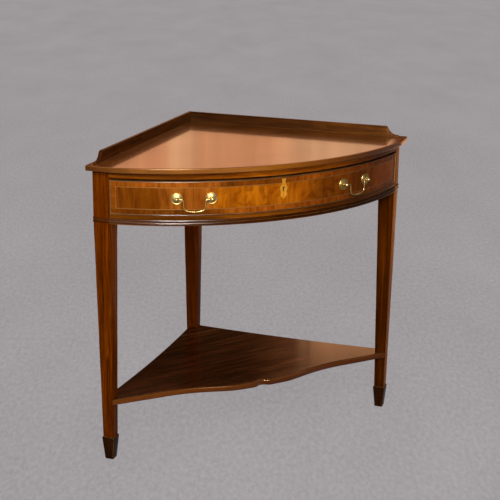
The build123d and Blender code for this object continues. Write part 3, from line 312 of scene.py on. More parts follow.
# Lines and beads: painted shade towards the right
lineShade = dict(paintedShadeRight, stops=[
    (0.0, "#FFFFFF"), (0.5, "#F0ECE8"), (0.64, "#D0C8B8"), (0.8, "#8C8068"), (1.0, "#605444")])
# Rail above the drawer: painted light in the middle, and painted shade towards the right
railLightAndShade = dict(paintedShadeRight, stops=[
    (0.0, "#BBB8B4"), (0.1, "#BBB8B4"), (0.37, "#D8D0C8"), (0.485, "#F6F0E8"), (0.68, "#D6CEC0"),
    (0.86, "#A89888"), (1.0, "#90806C")])
# Painted sheen along the right gallery rail, lighter towards its end
galleryPaintedSheen = {"spanMm": (-220, 400), "axis": 0, "stops": [
                (0.0, "#98908A"), (0.5, "#ACA49C"), (0.85, "#FFFFFF"), (1.0, "#FFFFFF")]}
# Legs are darker towards the floor
legShade = {"spanMm": (0, table["topHeight"]), "axis": 2, "stops": [
            (0.0, "#C8C4C0"), (0.3, "#D8D4D0"), (0.7, "#F4F2F0"), (1.0, "#FFFFFF")]}
# Straight-grained mahogany legs: fine upright stripes, hardly glossy
legWood = dict(polish, worn="#8A4C14", grain="z", stripeMm=7, stripeLong=40, ior=1.24, specular=0.07,
               roughness=0.34, tonesAlong=legShade)
# Mahogany at the sides: browner, with little light in its polish
sideWood = dict(polish, pale="#7A3C08", body="#562602", dark="#2C1000", ior=1.3, specular=0.2)
# Tulipwood laid across the band, so its grain shows as short upright stripes
bandWood = dict(polish, pale="#C87424", body="#A4540F", dark="#70320A", lay="bow", grain="z", stripeLong=5,
                cloudMm=60, cloud=0.3, roughness=0.28, ior=1.25, specular=0.2)
# Oak linings: quartered and waxed only, so pale and nearly matt, with open pores
oak = dict(polish, pale="#BE9A66", body="#A07C4C", dark="#6E5230", worn="#C4A47A", stripeMm=5, pore=0.6,
           roughness=0.5, bump=0.5)
woods = {
    # Cuban mahogany, french polished until it mirrors: long straight stripes along the table
    "topPolish": dict(
        polish, pale="#8E4C1A", body="#703A10", dark="#4E2406", worn="#B87C48", stripeMm=30, stripeLong=14,
        fibreMm=1.8, cloudMm=230, cloud=0.08, roughness=0.2, coat=0.8, coatRoughness=0.07, pore=0.25,
        bump=0.06, roundedEdge=0.3, edgeTonesAndShade=[
            (0.02, "#5E320A"), (0.12, "#8C5420"), (0.22, "#8C5420"), (0.383, "#A26326"), (0.487, "#92540F"),
            (0.656, "#703A08"), (0.806, "#502602"), (1.0, "#60320C")]),
    # The gallery's rails: the left one nearly black with painted shade, the right one redder, with a painted
    # sheen towards its end
    "galleryLeft": dict(polish, pale="#542400", body="#3A1600", dark="#220B00", lay=-45, stripeMm=7, ior=1.3,
                        specular=0.2),
    "galleryRight": dict(polish, pale="#7C4614", body="#5C300C", dark="#361806", lay=45, stripeMm=7, ior=1.35,
                         specular=0.25, tonesAlong=galleryPaintedSheen),
    # The left leg is the warmest. The right leg is darker with painted shade, and its outer face carries
    # painted light below the frieze.
    "legPolish": dict(legWood, pale="#A2520A", body="#703000", dark="#341200", worn="#A05C18"),
    "legPolishShade": dict(legWood, pale="#9C4A08", body="#6E3000", dark="#3A1600"),
    "legPolishSunned": dict(legWood, pale="#7A3A06", body="#562600", dark="#2E1000", litFace={
                            "way": (rootHalf, -rootHalf, 0), "litTone": "#8A4C1A", "topMm": 622}),
    # The feet are almost black and rubbed pale on their corners
    "footPolish": dict(polish, pale="#40200A", body="#2A1404", dark="#140800", worn="#8A6238", grain="z",
                       stripeMm=6, wear=0.7, wearMm=4, ior=1.28, specular=0.12),
    # The bowed rails below and above the drawer, with painted shade towards the right; the upper one paler,
    # with painted light in its middle
    "bowPolish": dict(polish, lay="bow", wear=0.2, roughness=0.26, ior=1.3, specular=0.2, tonesAlong=paintedShadeRight),
    "railPolish": dict(polish, pale="#DC7E1B", body="#994F08", dark="#4D2100", lay="bow", wear=0.1,
                       roughness=0.26, ior=1.3, specular=0.2, tonesAlong=railLightAndShade),
    # The reeds are nearly black, which is painted shade, and darker still towards the right. At the left the
    # polish is thick and draws the light into a line.
    "reedPolish": dict(polish, pale="#6A3406", body="#482000", dark="#240C00", lay="bow", stripeMm=5,
                       wear=0.5, ior=1.3, specular=0.15, coat=0.75, coatRoughness=0.2, tonesAlong=reedShade,
                       polishEndsMm=(-230, -60)),
    "sideLeft": dict(sideWood, lay=-45),
    "sideRight": dict(sideWood, lay=45),
    # The shelf: mahogany darkened by painted shade, glossy, with redder flames that also stand in for streaky
    # reflections (a painted reflection, strongest towards the right), and cleaner wood on its edges with
    # painted shade towards the right
    "shelfPolish": dict(
        polish, pale="#4E220A", body="#2C1003", dark="#160600", worn="#A0622C", lay=-8, stripeMm=15,
        stripeLong=12, fibreShare=0.2, roughness=0.2, coat=0.4, coatRoughness=0.08, cloudMm=160,
        roundedEdge=0.25,
        flame={"acrossMm": 16, "lengthMm": 190, "distortion": 0.5, "from": 0.5, "to": 0.66, "share": 0.36,
               "colour": "#84502C", "fade": [(0.0, 0.0), (0.36, 0.35), (0.6, 0.9), (1.0, 0.8)]},
        edgeTonesAndShade=[(0.0, "#763E10"), (0.3, "#6A340C"), (0.42, "#5C2E0C"), (0.5, "#52260A"),
                   (1.0, "#5A280A")]),
    # Crotch-figured mahogany veneer: dark flames over a bright orange ground
    "flameVeneer": dict(
        polish, pale="#CC7C28", body="#AE6216", dark="#78380A", lay="bow", stripeMm=13, grain="z",
        stripeLong=8, swayMm=12, waveMm=90, roughness=0.28, ior=1.25, specular=0.2, tonesAlong=fieldLeavesAndLight,
        flame={"acrossMm": 40, "lengthMm": 40, "distortion": 1.8, "from": 0.46, "to": 0.64, "share": 0.62,
               "colour": "#703004", "fade": [(0.0, 0.0), (0.27, 0.0), (0.34, 1.0), (0.7, 1.0), (0.8, 0.5)]}),
    "bandTop": dict(bandWood, tonesAlong=topBandLeafAndShade),
    "bandLow": dict(bandWood, tonesAlong=lowBandShadowAndShade),
    "bandEnd": dict(bandWood, pale="#B0641C", body="#8E460A", dark="#602A06", grain="x", cloudMm=90,
                    cloud=0.16, tonesAlong=paintedShadeRight),
    # Boxwood lines and cock beads, browned by the same polish and with painted shade towards the right, and
    # the right end's bead paler: a painted highlight on its nose
    "stringing": dict(polish, pale="#B47C38", body="#986022", dark="#704214", worn="#C89858", lay="bow",
                      stripeMm=5, pore=0.1, ior=1.35, tonesAlong=lineShade),
    "beadPolish": dict(polish, pale="#98683A", body="#784C24", dark="#4E2E12", worn="#B08858", lay="bow",
                       stripeMm=5, wear=0.6, roughness=0.28, ior=1.3, specular=0.2, coat=0.8,
                       coatRoughness=0.2, tonesAlong=lineShade, polishEndsMm=(-240, 0)),
    "beadEnd": dict(polish, pale="#C08850", body="#A87038", dark="#7C4E24", worn="#C89860", stripeMm=5,
                    grain="z", roughness=0.28),
    # Clean boxwood, the palest wood on the front
    "escutcheon": dict(polish, pale="#ECA83C", body="#D08A1C", dark="#A0600C", worn="#F0C070", lay="bow",
                       grain="z", stripeMm=5, pore=0.1),
    "lining": oak,
    "liningSide": dict(oak, grain="y"),
    # The drawer front's core, dark brown and dull as painted shade in the gap above the drawer, and the raw
    # oak of the runners and blocks
    "stainedCore": dict(polish, pale="#5A3618", body="#42260E", dark="#281404", lay="bow", stripeMm=6,
                        roughness=0.5, bump=0.4),
    "rawOak": dict(oak, pale="#A68456", body="#86663C", dark="#5A4226", worn="#B0946C", pore=0.7, grain="y",
                   roughness=0.65, bump=0.6),
}
# Cast handles, yellow and bright where they are touched, the duller brass of the lock, and grey steel
metals = {
    "agedBrass": {"pale": "#CCB680", "body": "#A4884C", "dark": "#74591F", "grime": "#34260A", "stainMm": 12,
                  "roughness": 0.33},
    "lockBrass": {"pale": "#C4A668", "body": "#A38546", "dark": "#6E5528", "grime": "#2E2210", "stainMm": 9,
                  "roughness": 0.36},
    "screwSteel": {"pale": "#A8A49E", "body": "#86827C", "dark": "#5A554E", "grime": "#2A2622", "stainMm": 4,
                   "roughness": 0.38},
}
finish = {name: woodFinish(name, wood) for name, wood in woods.items()}
finish |= {name: castMetal(name, metal) for name, metal in metals.items()}
print("finishes:", len(finish))

# Which finish each CAD node takes
dressed = {
    "topPolish": ["top_board"], "galleryLeft": ["gallery_left"], "galleryRight": ["gallery_right"],
    "legPolish": ["leg_left"], "legPolishShade": ["leg_back"], "legPolishSunned": ["leg_right"],
    "footPolish": ["spade_foot_left", "spade_foot_right", "spade_foot_back"],
    "railPolish": ["front_top_rail"], "bowPolish": ["front_bottom_rail"], "reedPolish": ["frieze_moulding"],
    "sideLeft": ["side_rail_left", "moulding_return_right"],
    "sideRight": ["side_rail_right", "moulding_return_left"],
    "shelfPolish": ["undertier_shelf"], "flameVeneer": ["flame_veneer"],
    "bandTop": ["banding_top"], "bandLow": ["banding_bottom"], "bandEnd": ["banding_left", "banding_right"],
    "stringing": ["stringing_top", "stringing_bottom", "stringing_left", "stringing_right"],
    "beadPolish": ["cock_bead_top", "cock_bead_bottom", "cock_bead_left", "cock_bead_right"],
    "escutcheon": ["escutcheon_inlay"], "stainedCore": ["drawer_front"], "lining": ["drawer_back"],
    "liningSide": ["drawer_side_left", "drawer_side_right", "drawer_bottom"],
    "rawOak": ["glue_blocks", "runner_left", "runner_right", "guide_left", "guide_right", "kicker_left",
               "kicker_right", "drawer_stops", "shelf_dowels"],
    "agedBrass": ["handle_roses_left", "handle_roses_right", "handle_posts_left", "handle_posts_right",
                  "handle_nuts_left", "handle_nuts_right", "bail_left", "bail_right"],
    "lockBrass": ["lock_case", "lock_bolt"], "screwSteel": ["top_screws", "lock_screws"],
}
for look, members in dressed.items():
    for member in members:
        for slot in nodes[member].material_slots:
            slot.material = finish[look]
slotOf = {entry["node"]: entry["material_slot"] for entry in frame["record"]["subparts"]}


# Shapes
meshing = {"weld": 1e-6, "sharp": 38, "mostSides": 8}


def gridFaces(rows, columns, closeRows=False):
    # Quads between the neighbours of a grid of points whose rows are rings. A point's number is its row
    # times the columns, plus its column.
    r, c = np.meshgrid(np.arange(rows if closeRows else rows - 1), np.arange(columns), indexing="ij")
    nextR, nextC = (r + 1) % rows, (c + 1) % columns
    quads = np.stack([r * columns + c, r * columns + nextC, nextR * columns + nextC, nextR * columns + c], -1)
    return quads.reshape(-1, 4).tolist()


def closedStack(rings):
    # Skin over a stack of rings (ring, point, xyz), with the first and the last ring filled
    count, around = rings.shape[:2]
    faces = gridFaces(count, around)
    faces.append(list(range(around)))
    faces.append(list(range((count - 1) * around, count * around)))
    return rings.reshape(-1, 3), faces


def addPiece(name, points, faces, look, body, replaced=(), slotName=None, sharp=meshing["sharp"]):
    # Puts points (mm) into a mesh, its faces outwards, and lets it ride on a CAD body
    mesh = bpy.data.meshes.new(name)
    mesh.from_pydata((np.asarray(points).reshape(-1, 3) * mm).tolist(), [], faces)
    shell = bmesh.new()
    shell.from_mesh(mesh)
    bmesh.ops.remove_doubles(shell, verts=shell.verts, dist=meshing["weld"])
    bmesh.ops.recalc_face_normals(shell, faces=shell.faces)
    shell.to_mesh(mesh)
    shell.free()
    mesh.shade_smooth()
    mesh.set_sharp_from_angle(angle=math.radians(sharp))
    sides = np.zeros(len(mesh.polygons), dtype=np.int32)
    mesh.polygons.foreach_get("loop_total", sides)
    mesh.polygons.foreach_set("use_smooth", sides <= meshing["mostSides"])  # filled ends stay flat
    mesh.materials.append(finish[look])
    piece = intoScene(name, mesh)
    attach(piece, body)
    if replaced:
        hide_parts(*replaced)


def roundedPath(corners, radii, steps):
    # Each corner between the ends becomes an arc. It leaves the run before the corner, by the radius times
    # the tangent of half the turn, and joins it again as far after.
    corners, radii = np.asarray(corners, float), np.asarray(radii, float)
    into = corners - np.roll(corners, 1, 0)
    away = np.roll(corners, -1, 0) - corners
    into /= np.linalg.norm(into, axis=1, keepdims=True)
    away /= np.linalg.norm(away, axis=1, keepdims=True)
    cosine = np.clip((into * away).sum(1), -1, 1)
    turn = np.maximum(np.arccos(cosine), 1e-6)
    start = corners - into * (radii * np.tan(turn / 2))[:, None]
    side = (away - into * cosine[:, None]) / np.sin(turn)[:, None]
    angle = turn[:, None] * np.linspace(0, 1, steps)[None]
    arcs = start[:, None] + radii[:, None, None] * (side[:, None] * (1 - np.cos(angle))[..., None]
                                                    + into[:, None] * np.sin(angle)[..., None])
    return np.concatenate([corners[:1], arcs[1:-1].reshape(-1, corners.shape[1]), corners[-1:]])


def denser(path, step):
    # The same path with more points: its own ones and one at each step of length along it
    length = np.concatenate([[0], np.cumsum(np.linalg.norm(np.diff(path, axis=0), axis=1))])
    places = np.union1d(length, np.arange(step, length[-1] - 1, step))
    return np.stack([np.interp(places, length, column) for column in path.T], 1)


def mitres(outline):
    # For each point of a closed outline, the way that an inset of one moves it: the sum of the two sides'
    # inward normals over one plus their cosine
    ahead = np.roll(outline, -1, 0) - outline
    ahead /= np.linalg.norm(ahead, axis=1, keepdims=True)
    normal = np.stack([-ahead[:, 1], ahead[:, 0]], 1)
    former = np.roll(normal, 1, 0)
    area = (outline[:, 0] * np.roll(outline[:, 1], -1) - outline[:, 1] * np.roll(outline[:, 0], -1)).sum()
    return (normal + former) / (1 + (normal * former).sum(1))[:, None] * np.sign(area)


def insetStack(outline, profile):
    # Rings of one plan outline, each moved in by the profile's inset and up to its height
    profile = np.asarray(profile, float)
    plan = outline[None] + mitres(outline)[None] * profile[:, 0, None, None]
    height = np.broadcast_to(profile[:, 1, None, None], plan.shape[:2] + (1,))
    return np.concatenate([plan, height], 2)


def arcPoints(radius, steps, start, end):
    # Points of an arc between two angles in degrees: the radius times their cosines and sines
    angle = np.radians(np.linspace(start, end, steps))
    return radius * np.stack([np.cos(angle), np.sin(angle)], 1)


def easedSquare(centre, levels, steps=4):
    # Rings of a square turned half a right angle, one for each level of height, half side and corner
    # radius. A point is its quarter circle's centre plus the radius times a cosine and a sine.
    levels = np.asarray(levels, float)
    height, half, ease = levels[:, 0], levels[:, 1], levels[:, 2]
    angle = (np.arange(4)[:, None] * 90 + np.linspace(0, 90, steps)[None]).reshape(-1)
    quadrant = np.radians(np.repeat(np.arange(4) * 90 + 45, steps))
    flat = (half - ease)[:, None]
    a = flat * np.sign(np.cos(quadrant)) + ease[:, None] * np.cos(np.radians(angle))
    b = flat * np.sign(np.sin(quadrant)) + ease[:, None] * np.sin(np.radians(angle))
    turned = centre[0] + (a - b) * rootHalf, centre[1] + (a + b) * rootHalf
    return np.stack(np.broadcast_arrays(*turned, height[:, None]), 2)


def alongBow(profile, wallOffset=None, halfAngle=None, steps=97):
    # A profile of (radius, height) points carried round the bow: the radius times the sine of the angle, and
    # back from the bow's axis by the radius times its cosine. Each radius ends at one distance from the
    # wall, or at one angle.
    radius, height = np.asarray(profile, float).T
    if halfAngle is None:
        reach = (wallOffset / rootHalf + axisY - cornerY) / (radius / rootHalf)
        halfAngle = np.arccos(reach) - math.pi / 4
    angle = np.linspace(-1, 1, steps)[:, None] * np.broadcast_to(halfAngle, radius.shape)
    return np.stack(np.broadcast_arrays(radius * np.sin(angle), axisY - radius * np.cos(angle), height), 2)


# Top and gallery
topSizes = {"end": 618, "endWidth": 58, "edge": 2.6, "edgeFlat": 0.5, "cornerEase": 3.6, "frontEase": 0.15,
            "sweepPoints": 101, "edgePoints": 7, "cornerPoints": 5, "backStep": 9.0,
            "inward": [0.02, 0.06, 0.12, 0.2, 0.3, 0.4, 0.5, 0.6, 0.7, 0.8, 0.9, 0.96]}
end, endWidth, edge, over = topSizes["end"], topSizes["endWidth"], topSizes["edge"], -table["wallOverhang"]
# The front is an arc through the ends' corners and the bow's foremost point: its radius is half its chord
# squared plus its rise squared, over twice the rise
topReach = bowReach + table["topFront"] - topSizes["frontEase"]
sideHalf = (end - endWidth) * rootHalf
topRise = topReach - (end + endWidth) * rootHalf
topRadius = (sideHalf ** 2 + topRise ** 2) / (2 * topRise)
topAngle = math.asin(sideHalf / topRadius)
sweep = np.linspace(-topAngle, topAngle, topSizes["sweepPoints"])
topAxisY = cornerY - topReach + topRadius
frontArc = np.stack([topRadius * np.sin(sweep), topAxisY - topRadius * np.cos(sweep)], 1)
backCorners = fromArms(np.array([endWidth, over, over, end, end]), np.array([end, end, over, over, endWidth]))
eases = [0] + [topSizes["cornerEase"]] * 3 + [0]
backRun = denser(roundedPath(backCorners, eases, topSizes["cornerPoints"]), topSizes["backStep"])
topOutline = np.concatenate([frontArc, backRun[1:-1]])
lower = np.array([edge, table["friezeTop"] + edge]) + arcPoints(edge, topSizes["edgePoints"], -90, -180)
upper = np.array([edge, table["topHeight"] - edge]) + arcPoints(edge, topSizes["edgePoints"], 180, 90)
# One more flat ring under and over, so that the rounding's shading stays at the edge
flatRing = edge + topSizes["edgeFlat"]
topProfile = np.concatenate([[[flatRing, table["friezeTop"]]], lower, upper,
                             [[flatRing, table["topHeight"]]]])
# Inner rings shrink towards the middle: the middle plus a share of the way out to the ring
topRings = insetStack(topOutline, topProfile)
inward = np.array(topSizes["inward"])[:, None, None]
below, above = (ring.mean(0) + (ring - ring.mean(0)) * inward for ring in (topRings[0], topRings[-1]))
addPiece("top_panel", *closedStack(np.concatenate([below, topRings, above[::-1]])), "topPolish", "carcass",
         ("top_board",))

galleryShape = {"height": 26.5, "back": 2, "front": 10, "end": 598, "sweep": 32, "tail": 5, "tailHeight": 4.5,
                "crestShare": 0.25, "ease": 1.6, "easePoints": 5, "levelFrom": 12, "levelPoints": 40,
                "sweepPoints": 26, "endEase": 0.5, "endDrop": 0.6,
                "fillet": [(1.0, 0), (0.35, 0.35), (0, 1.2)]}


def galleryHeights(places):
    # Level, then a convex arc and a longer concave arc down to the tail. An arc's height is its centre's,
    # plus or less the root of the radius squared less the run squared.
    g = galleryShape
    drop = g["height"] - g["tailHeight"]
    turn = 2 * math.atan(drop / g["sweep"])
    radius = g["sweep"] / math.sin(turn)
    crest, hollow = radius * g["crestShare"], radius * (1 - g["crestShare"])
    run = places - (g["end"] - g["tail"] - g["sweep"])
    join = crest * math.sin(turn)
    convex = g["height"] - crest + np.sqrt(np.maximum(crest ** 2 - np.clip(run, 0, join) ** 2, 0))
    left = np.clip(g["sweep"] - run, 0, g["sweep"])
    concave = g["tailHeight"] + hollow - np.sqrt(np.maximum(hollow ** 2 - left ** 2, 0))
    return np.where(run <= 0, g["height"], np.where(run < join, convex, concave))


def galleryRail(name, side, look, replaced):
    # The rail's section, eased on top and with a small fillet at its foot, carried along the arm
    g = galleryShape
    sweepEnd = g["end"] - g["tail"]
    sweepStart = sweepEnd - g["sweep"]
    places = np.concatenate([[g["back"]], np.linspace(g["levelFrom"], sweepStart - 1, g["levelPoints"]),
                             np.linspace(sweepStart, sweepEnd, g["sweepPoints"]),
                             [g["end"] - g["endEase"], g["end"]]])
    height = galleryHeights(places)
    height[-1] -= g["endDrop"]
    inner = np.array([g["front"] - g["ease"], -g["ease"]]) + arcPoints(g["ease"], g["easePoints"], 0, 90)
    outer = np.array([g["back"] + g["ease"], -g["ease"]]) + arcPoints(g["ease"], g["easePoints"], 90, 180)
    foot = np.concatenate([[[g["back"], 0]], np.array(g["fillet"]) + [g["front"], 0]])
    across = np.concatenate([foot, inner, outer])
    onTop = np.arange(len(across)) >= len(foot)
    z = table["topHeight"] + across[:, 1] + onTop * height[:, None]
    u, v = (places + np.zeros_like(z) for places in (places[:, None], across[:, 0]))
    u[0] = v[0]  # mitred at the rear corner
    plan = fromArms(u, v) if side == "left" else fromArms(v, u)
    addPiece(name, *closedStack(np.concatenate([plan, z[..., None]], 2)), look, "carcass", (replaced,))


galleryRail("gallery_rail_left", "left", "galleryLeft", "gallery_left")
galleryRail("gallery_rail_right", "right", "galleryRight", "gallery_right")
print("top and gallery done")

# Legs and feet
legShape = {"ankle": 13.5, "square": table["legSize"] / 2, "ankleHeight": 61, "arris": 0.9, "levels": 60,
            "knocks": [(0.35, 0.037), (0.25, 0.11)]}
# Height, half side and corner radius from the floor up
footLevels = [(0, 10.25, 0.5), (0.5, 10.75, 0.8), (20, 12.53, 0.8), (40, 14.31, 0.8), (58.4, 15.95, 0.8),
              (59, 15.85, 0.8), (60.2, 15.35, 0.7), (61, 14.7, 0.6)]
half = legShape["square"]
legLook = {"left": "legPolish", "right": "legPolishSunned", "back": "legPolishShade"}
legPlaces = {"left": (table["armLength"] - half, half), "right": (half, table["armLength"] - half),
             "back": (half, half)}
for side, arms in legPlaces.items():
    centre = fromArms(*arms)
    z = np.concatenate([np.linspace(legShape["ankleHeight"], table["friezeBottom"], legShape["levels"]),
                        [table["friezeTop"]]])
    # The half side grows evenly from the ankle to the frieze and stays
    taper = np.clip((z - legShape["ankleHeight"]) / (table["friezeBottom"] - legShape["ankleHeight"]), 0, 1)
    width = legShape["ankle"] + (legShape["square"] - legShape["ankle"]) * taper
    # Knocks and rubbing make the arris wander: one plus two sines of the height, shifted by the leg's place
    wander = sum(share * np.sin(z * pitch + arm) for (share, pitch), arm in zip(legShape["knocks"], arms))
    arris = legShape["arris"] * (1 + wander)
    addPiece("leg_" + side + "_polished", *closedStack(easedSquare(centre, np.stack([z, width, arris], 1))),
             legLook[side], "carcass", ("leg_" + side,))
    addPiece("spade_foot_" + side + "_polished", *closedStack(easedSquare(centre, footLevels)), "footPolish",
             "carcass", ("spade_foot_" + side,), sharp=30)
print("legs and feet done")

# Mouldings and cock beads
reeds = {"rise": 2.5, "height": 5.5, "gap": 1.6, "projection": 2.6, "backing": 0.8, "points": 13}


def reedProfile():
    # Two bulging reeds with a flat between them, as points (out, up). A reed's radius is half its height
    # squared plus its bulge squared, over twice the bulge.
    r = reeds
    bulge = r["projection"] - r["backing"]
    half = r["height"] / 2
    radius = (half ** 2 + bulge ** 2) / (2 * bulge)
    lean = math.degrees(math.asin(half / radius))
    arc = arcPoints(radius, r["points"], -lean, lean) + [r["projection"] - radius, half]
    above = arc + [0, r["height"] + r["gap"]]
    top = 2 * r["height"] + r["gap"]
    return np.concatenate([[[0, 0]], arc, above, [[0, top]]]) + [0, table["friezeBottom"] + r["rise"]]


def addBowPiece(name, profile, look, body, replaced, **ends):
    # A profile carried round the bow and filled at both ends
    addPiece(name, *closedStack(alongBow(profile, **ends)), look, body, replaced)


reedLine = reedProfile()
addBowPiece("reeded_moulding", reedLine + [bowRadius, 0], "reedPolish", "carcass", ("frieze_moulding",),
            halfAngle=bowHalfAngle)
for side, look in (("left", "sideRight"), ("right", "sideLeft")):
    # Across the leg's end face, in three rings
    across, out, rise = np.broadcast_arrays(np.linspace(0, table["legSize"], 3)[:, None],
                                            table["armLength"] + reedLine[:, 0], reedLine[:, 1])
    plan = fromArms(out, across) if side == "left" else fromArms(across, out)
    addPiece("reeded_return_" + side, *closedStack(np.concatenate([plan, rise[..., None]], 2)), look,
             "carcass", ("moulding_return_" + side,))

bead = {"thickness": 2.5, "projection": 1.2, "depth": 8, "points": 9}
halfBead = bead["thickness"] / 2
nose = arcPoints(halfBead, bead["points"], -90, 90) + [bead["projection"] - halfBead, 0]
beadSection = np.concatenate([[[-bead["depth"], -halfBead]], nose, [[-bead["depth"], halfBead]]])
beadHeights = {"top": table["drawerTop"] - halfBead, "bottom": table["drawerBottom"] + halfBead}
for side, height in beadHeights.items():
    addBowPiece("bead_" + side, beadSection + [bowRadius, height], "beadPolish", "drawer",
                ("cock_bead_" + side,), wallOffset=table["drawerEnd"])
for way, side, look in ((-1, "left", "beadPolish"), (1, "right", "beadEnd")):
    # The end beads stand upright, against the plane that the drawer ends at
    offsets = table["drawerEnd"] + halfBead + beadSection[:, 1]
    radius = bowRadius + beadSection[:, 0]
    angle = way * (np.arccos((offsets / rootHalf + axisY - cornerY) / (radius / rootHalf)) - math.pi / 4)
    z = np.array([table["drawerBottom"] + bead["thickness"], table["drawerTop"] - bead["thickness"]])
    rings = np.stack(np.broadcast_arrays(radius * np.sin(angle), axisY - radius * np.cos(angle),
                                         z[:, None]), 2)
    addPiece("bead_" + side, *closedStack(rings), look, "drawer", ("cock_bead_" + side,))
print("mouldings and beads done")

# Brass
handle = {"angle": 19.3, "spacing": 83.5, "reach": 11.5, "wire": 1.4, "wirePoints": 16, "wireStep": 1.2,
          "line": [(-40.5, 0), (-26.5, 0), (-25, -26), (0, -32), (25, -26), (26.5, 0), (40.5, 0)],
          "bends": [0, 4.5, 9, 60, 9, 4.5, 0], "bendPoints": 14,
          "beads": [(0, 3.0, 1.4), (9.0, 2.2, 0.9), (16.5, 1.8, 0.6)],
          "ball": 4.75, "ballArc": (-52, 78), "ballPoints": 18, "rosePoints": 48, "postPoints": 32}
postTurn = math.asin(handle["spacing"] / 2 / (bowRadius + handle["reach"]))
# What is turned about a post's axis, as radius and distance out of the drawer's front
roseLine = [(0, 0.0), (14.5, 0.0), (14.5, 0.5), (14.35, 1.0), (14.0, 1.5), (13.5, 1.9), (13.0, 2.0),
            (12.5, 1.8), (12.1, 1.45), (11.7, 1.25), (11.2, 1.25), (10.7, 1.5), (10.0, 2.05), (9.2, 2.55),
            (8.2, 3.0), (7.2, 3.32), (6.2, 3.52), (5.2, 3.6), (4.0, 3.6), (0, 3.6)]
ballLine = arcPoints(handle["ball"], handle["ballPoints"], *handle["ballArc"]) + [0, handle["reach"]]
tip = ballLine[-1, 1]
postLine = np.concatenate([
    [(0, -26.5), (2.25, -26.5), (2.25, 0), (2.25, 2.5), (3.9, 2.5), (4.3, 3.7), (4.1, 4.4), (3.4, 4.7),
     (2.9, 5.2), (2.75, 6.0), (2.75, 6.9), (3.0, 7.5)], ballLine,
    [(0.95, tip + 0.15), (0.9, tip + 0.45), (0.6, tip + 0.75), (0, tip + 0.85)]])


def lathe(profile, origin, axis, steps):
    # A profile of (radius, distance out) turned about its axis: out along the axis, and the radius times the
    # cosine to the side and the sine upwards
    profile = np.asarray(profile, float)
    axis = np.asarray(axis, float)
    side = np.cross([0, 0, 1.0], axis)
    turn = np.linspace(0, 2 * math.pi, steps, endpoint=False)
    ring = side[None] * np.cos(turn)[:, None] + np.array([[0, 0, 1.0]]) * np.sin(turn)[:, None]
    points = origin + axis * profile[:, 1, None, None] + ring[None] * profile[:, 0, None, None]
    return points, gridFaces(len(profile), steps)


def joined(parts):
    # Several worked-out shells as one mesh
    points, faces, start = [], [], 0
    for shellPoints, shellFaces in parts:
        shellPoints = np.asarray(shellPoints).reshape(-1, 3)
        points.append(shellPoints)
        faces += [[index + start for index in face] for face in shellFaces]
        start += len(shellPoints)
    return np.concatenate(points), faces


def bailWire(angle):
    # A round section carried along the bail's bent line. Its radius is the wire's plus, for each bead, the
    # bead's height times a bell curve of the distance from its place.
    hinge = (bowRadius + handle["reach"]) * math.cos(postTurn)
    out = np.array([math.sin(angle), -math.cos(angle), 0])
    side = np.array([math.cos(angle), math.sin(angle), 0])
    centre = np.array([0, axisY, table["handleHeight"]]) + out * hinge
    line = denser(roundedPath(handle["line"], handle["bends"], handle["bendPoints"]), handle["wireStep"])
    ahead = np.gradient(line, axis=0)
    ahead /= np.linalg.norm(ahead, axis=1, keepdims=True)
    length = np.concatenate([[0], np.cumsum(np.linalg.norm(np.diff(line, axis=0), axis=1))])
    fromMiddle = length - length[-1] / 2
    beads = sum(high * np.exp(-((np.abs(fromMiddle) - place) / wide) ** 2)
                for place, wide, high in handle["beads"])
    radius = handle["wire"] + beads
    ring = np.linspace(0, 2 * math.pi, handle["wirePoints"], endpoint=False)
    inPlane = np.stack([-ahead[:, 1], ahead[:, 0]], 1)
    centreLine = centre + line[:, :1] * side + line[:, 1:] * np.array([0, 0, 1.0])
    across = inPlane[:, :1] * side + inPlane[:, 1:] * np.array([0, 0, 1.0])
    return centreLine[:, None] + radius[:, None, None] * (across[:, None] * np.cos(ring)[None, :, None]
                                                           + out * np.sin(ring)[None, :, None])


for way, side in ((-1, "left"), (1, "right")):
    middleAngle = way * math.radians(handle["angle"])
    outs = [np.array([math.sin(angle), -math.cos(angle), 0])
            for angle in (middleAngle - postTurn, middleAngle + postTurn)]
    seats = [np.array([0, axisY, table["handleHeight"]]) + out * bowRadius for out in outs]
    for part, profile in (("rose", roseLine), ("post", postLine)):
        pair = [lathe(profile, seat, out, handle[part + "Points"]) for seat, out in zip(seats, outs)]
        addPiece(part + "s_" + side, *joined(pair), "agedBrass", "drawer", ("handle_" + part + "s_" + side,))
    addPiece("bail_" + side + "_wire", *closedStack(bailWire(middleAngle)), "agedBrass", "bail_" + side,
             ("bail_" + side,), sharp=60)

keyhole = {"height": 698, "radius": 2.5, "slotHalf": 1.3, "slotLength": 7.5, "points": 29,
           "section": [(0, 2.0), (0, -0.2), (0.3, -0.4), (0.7, -0.3), (0.9, 0.0), (0.9, 2.0)]}
k = keyhole
openAngle = math.degrees(math.asin(k["slotHalf"] / k["radius"]))
holeLine = np.concatenate([arcPoints(k["radius"], k["points"], openAngle - 90, 270 - openAngle),
                           [[-k["slotHalf"], -k["slotLength"]], [k["slotHalf"], -k["slotLength"]]]])
# The liner's section, as wall thickness and depth behind the bow's face, carried round the keyhole
section = np.array(k["section"])
wall = holeLine[None] - mitres(holeLine)[None] * section[:, 0, None, None]
deep = np.broadcast_to(axisY - bowRadius + section[:, 1, None], wall.shape[:2])
addPiece("keyhole_liner", np.stack([wall[..., 0], deep, wall[..., 1] + k["height"]], 2),
         gridFaces(len(section), len(holeLine), closeRows=True), "lockBrass", "drawer",
         slotName=slotOf["lock_case"])
print("brass done")

# Floor, light and camera
paper = {"tone": "#A6A1A3", "halfWidth": 30.0, "turn": -26, "stretch": 2.4, "grainMm": 11, "cloudMm": 400,
         "cloudShare": 0.3, "glow": 0.86}
mottle = {1: 0.35, 2: 0.65, 3: 0.88, 4: 1.12}
air = {"tone": "#FFF0E0", "strength": 0.2}
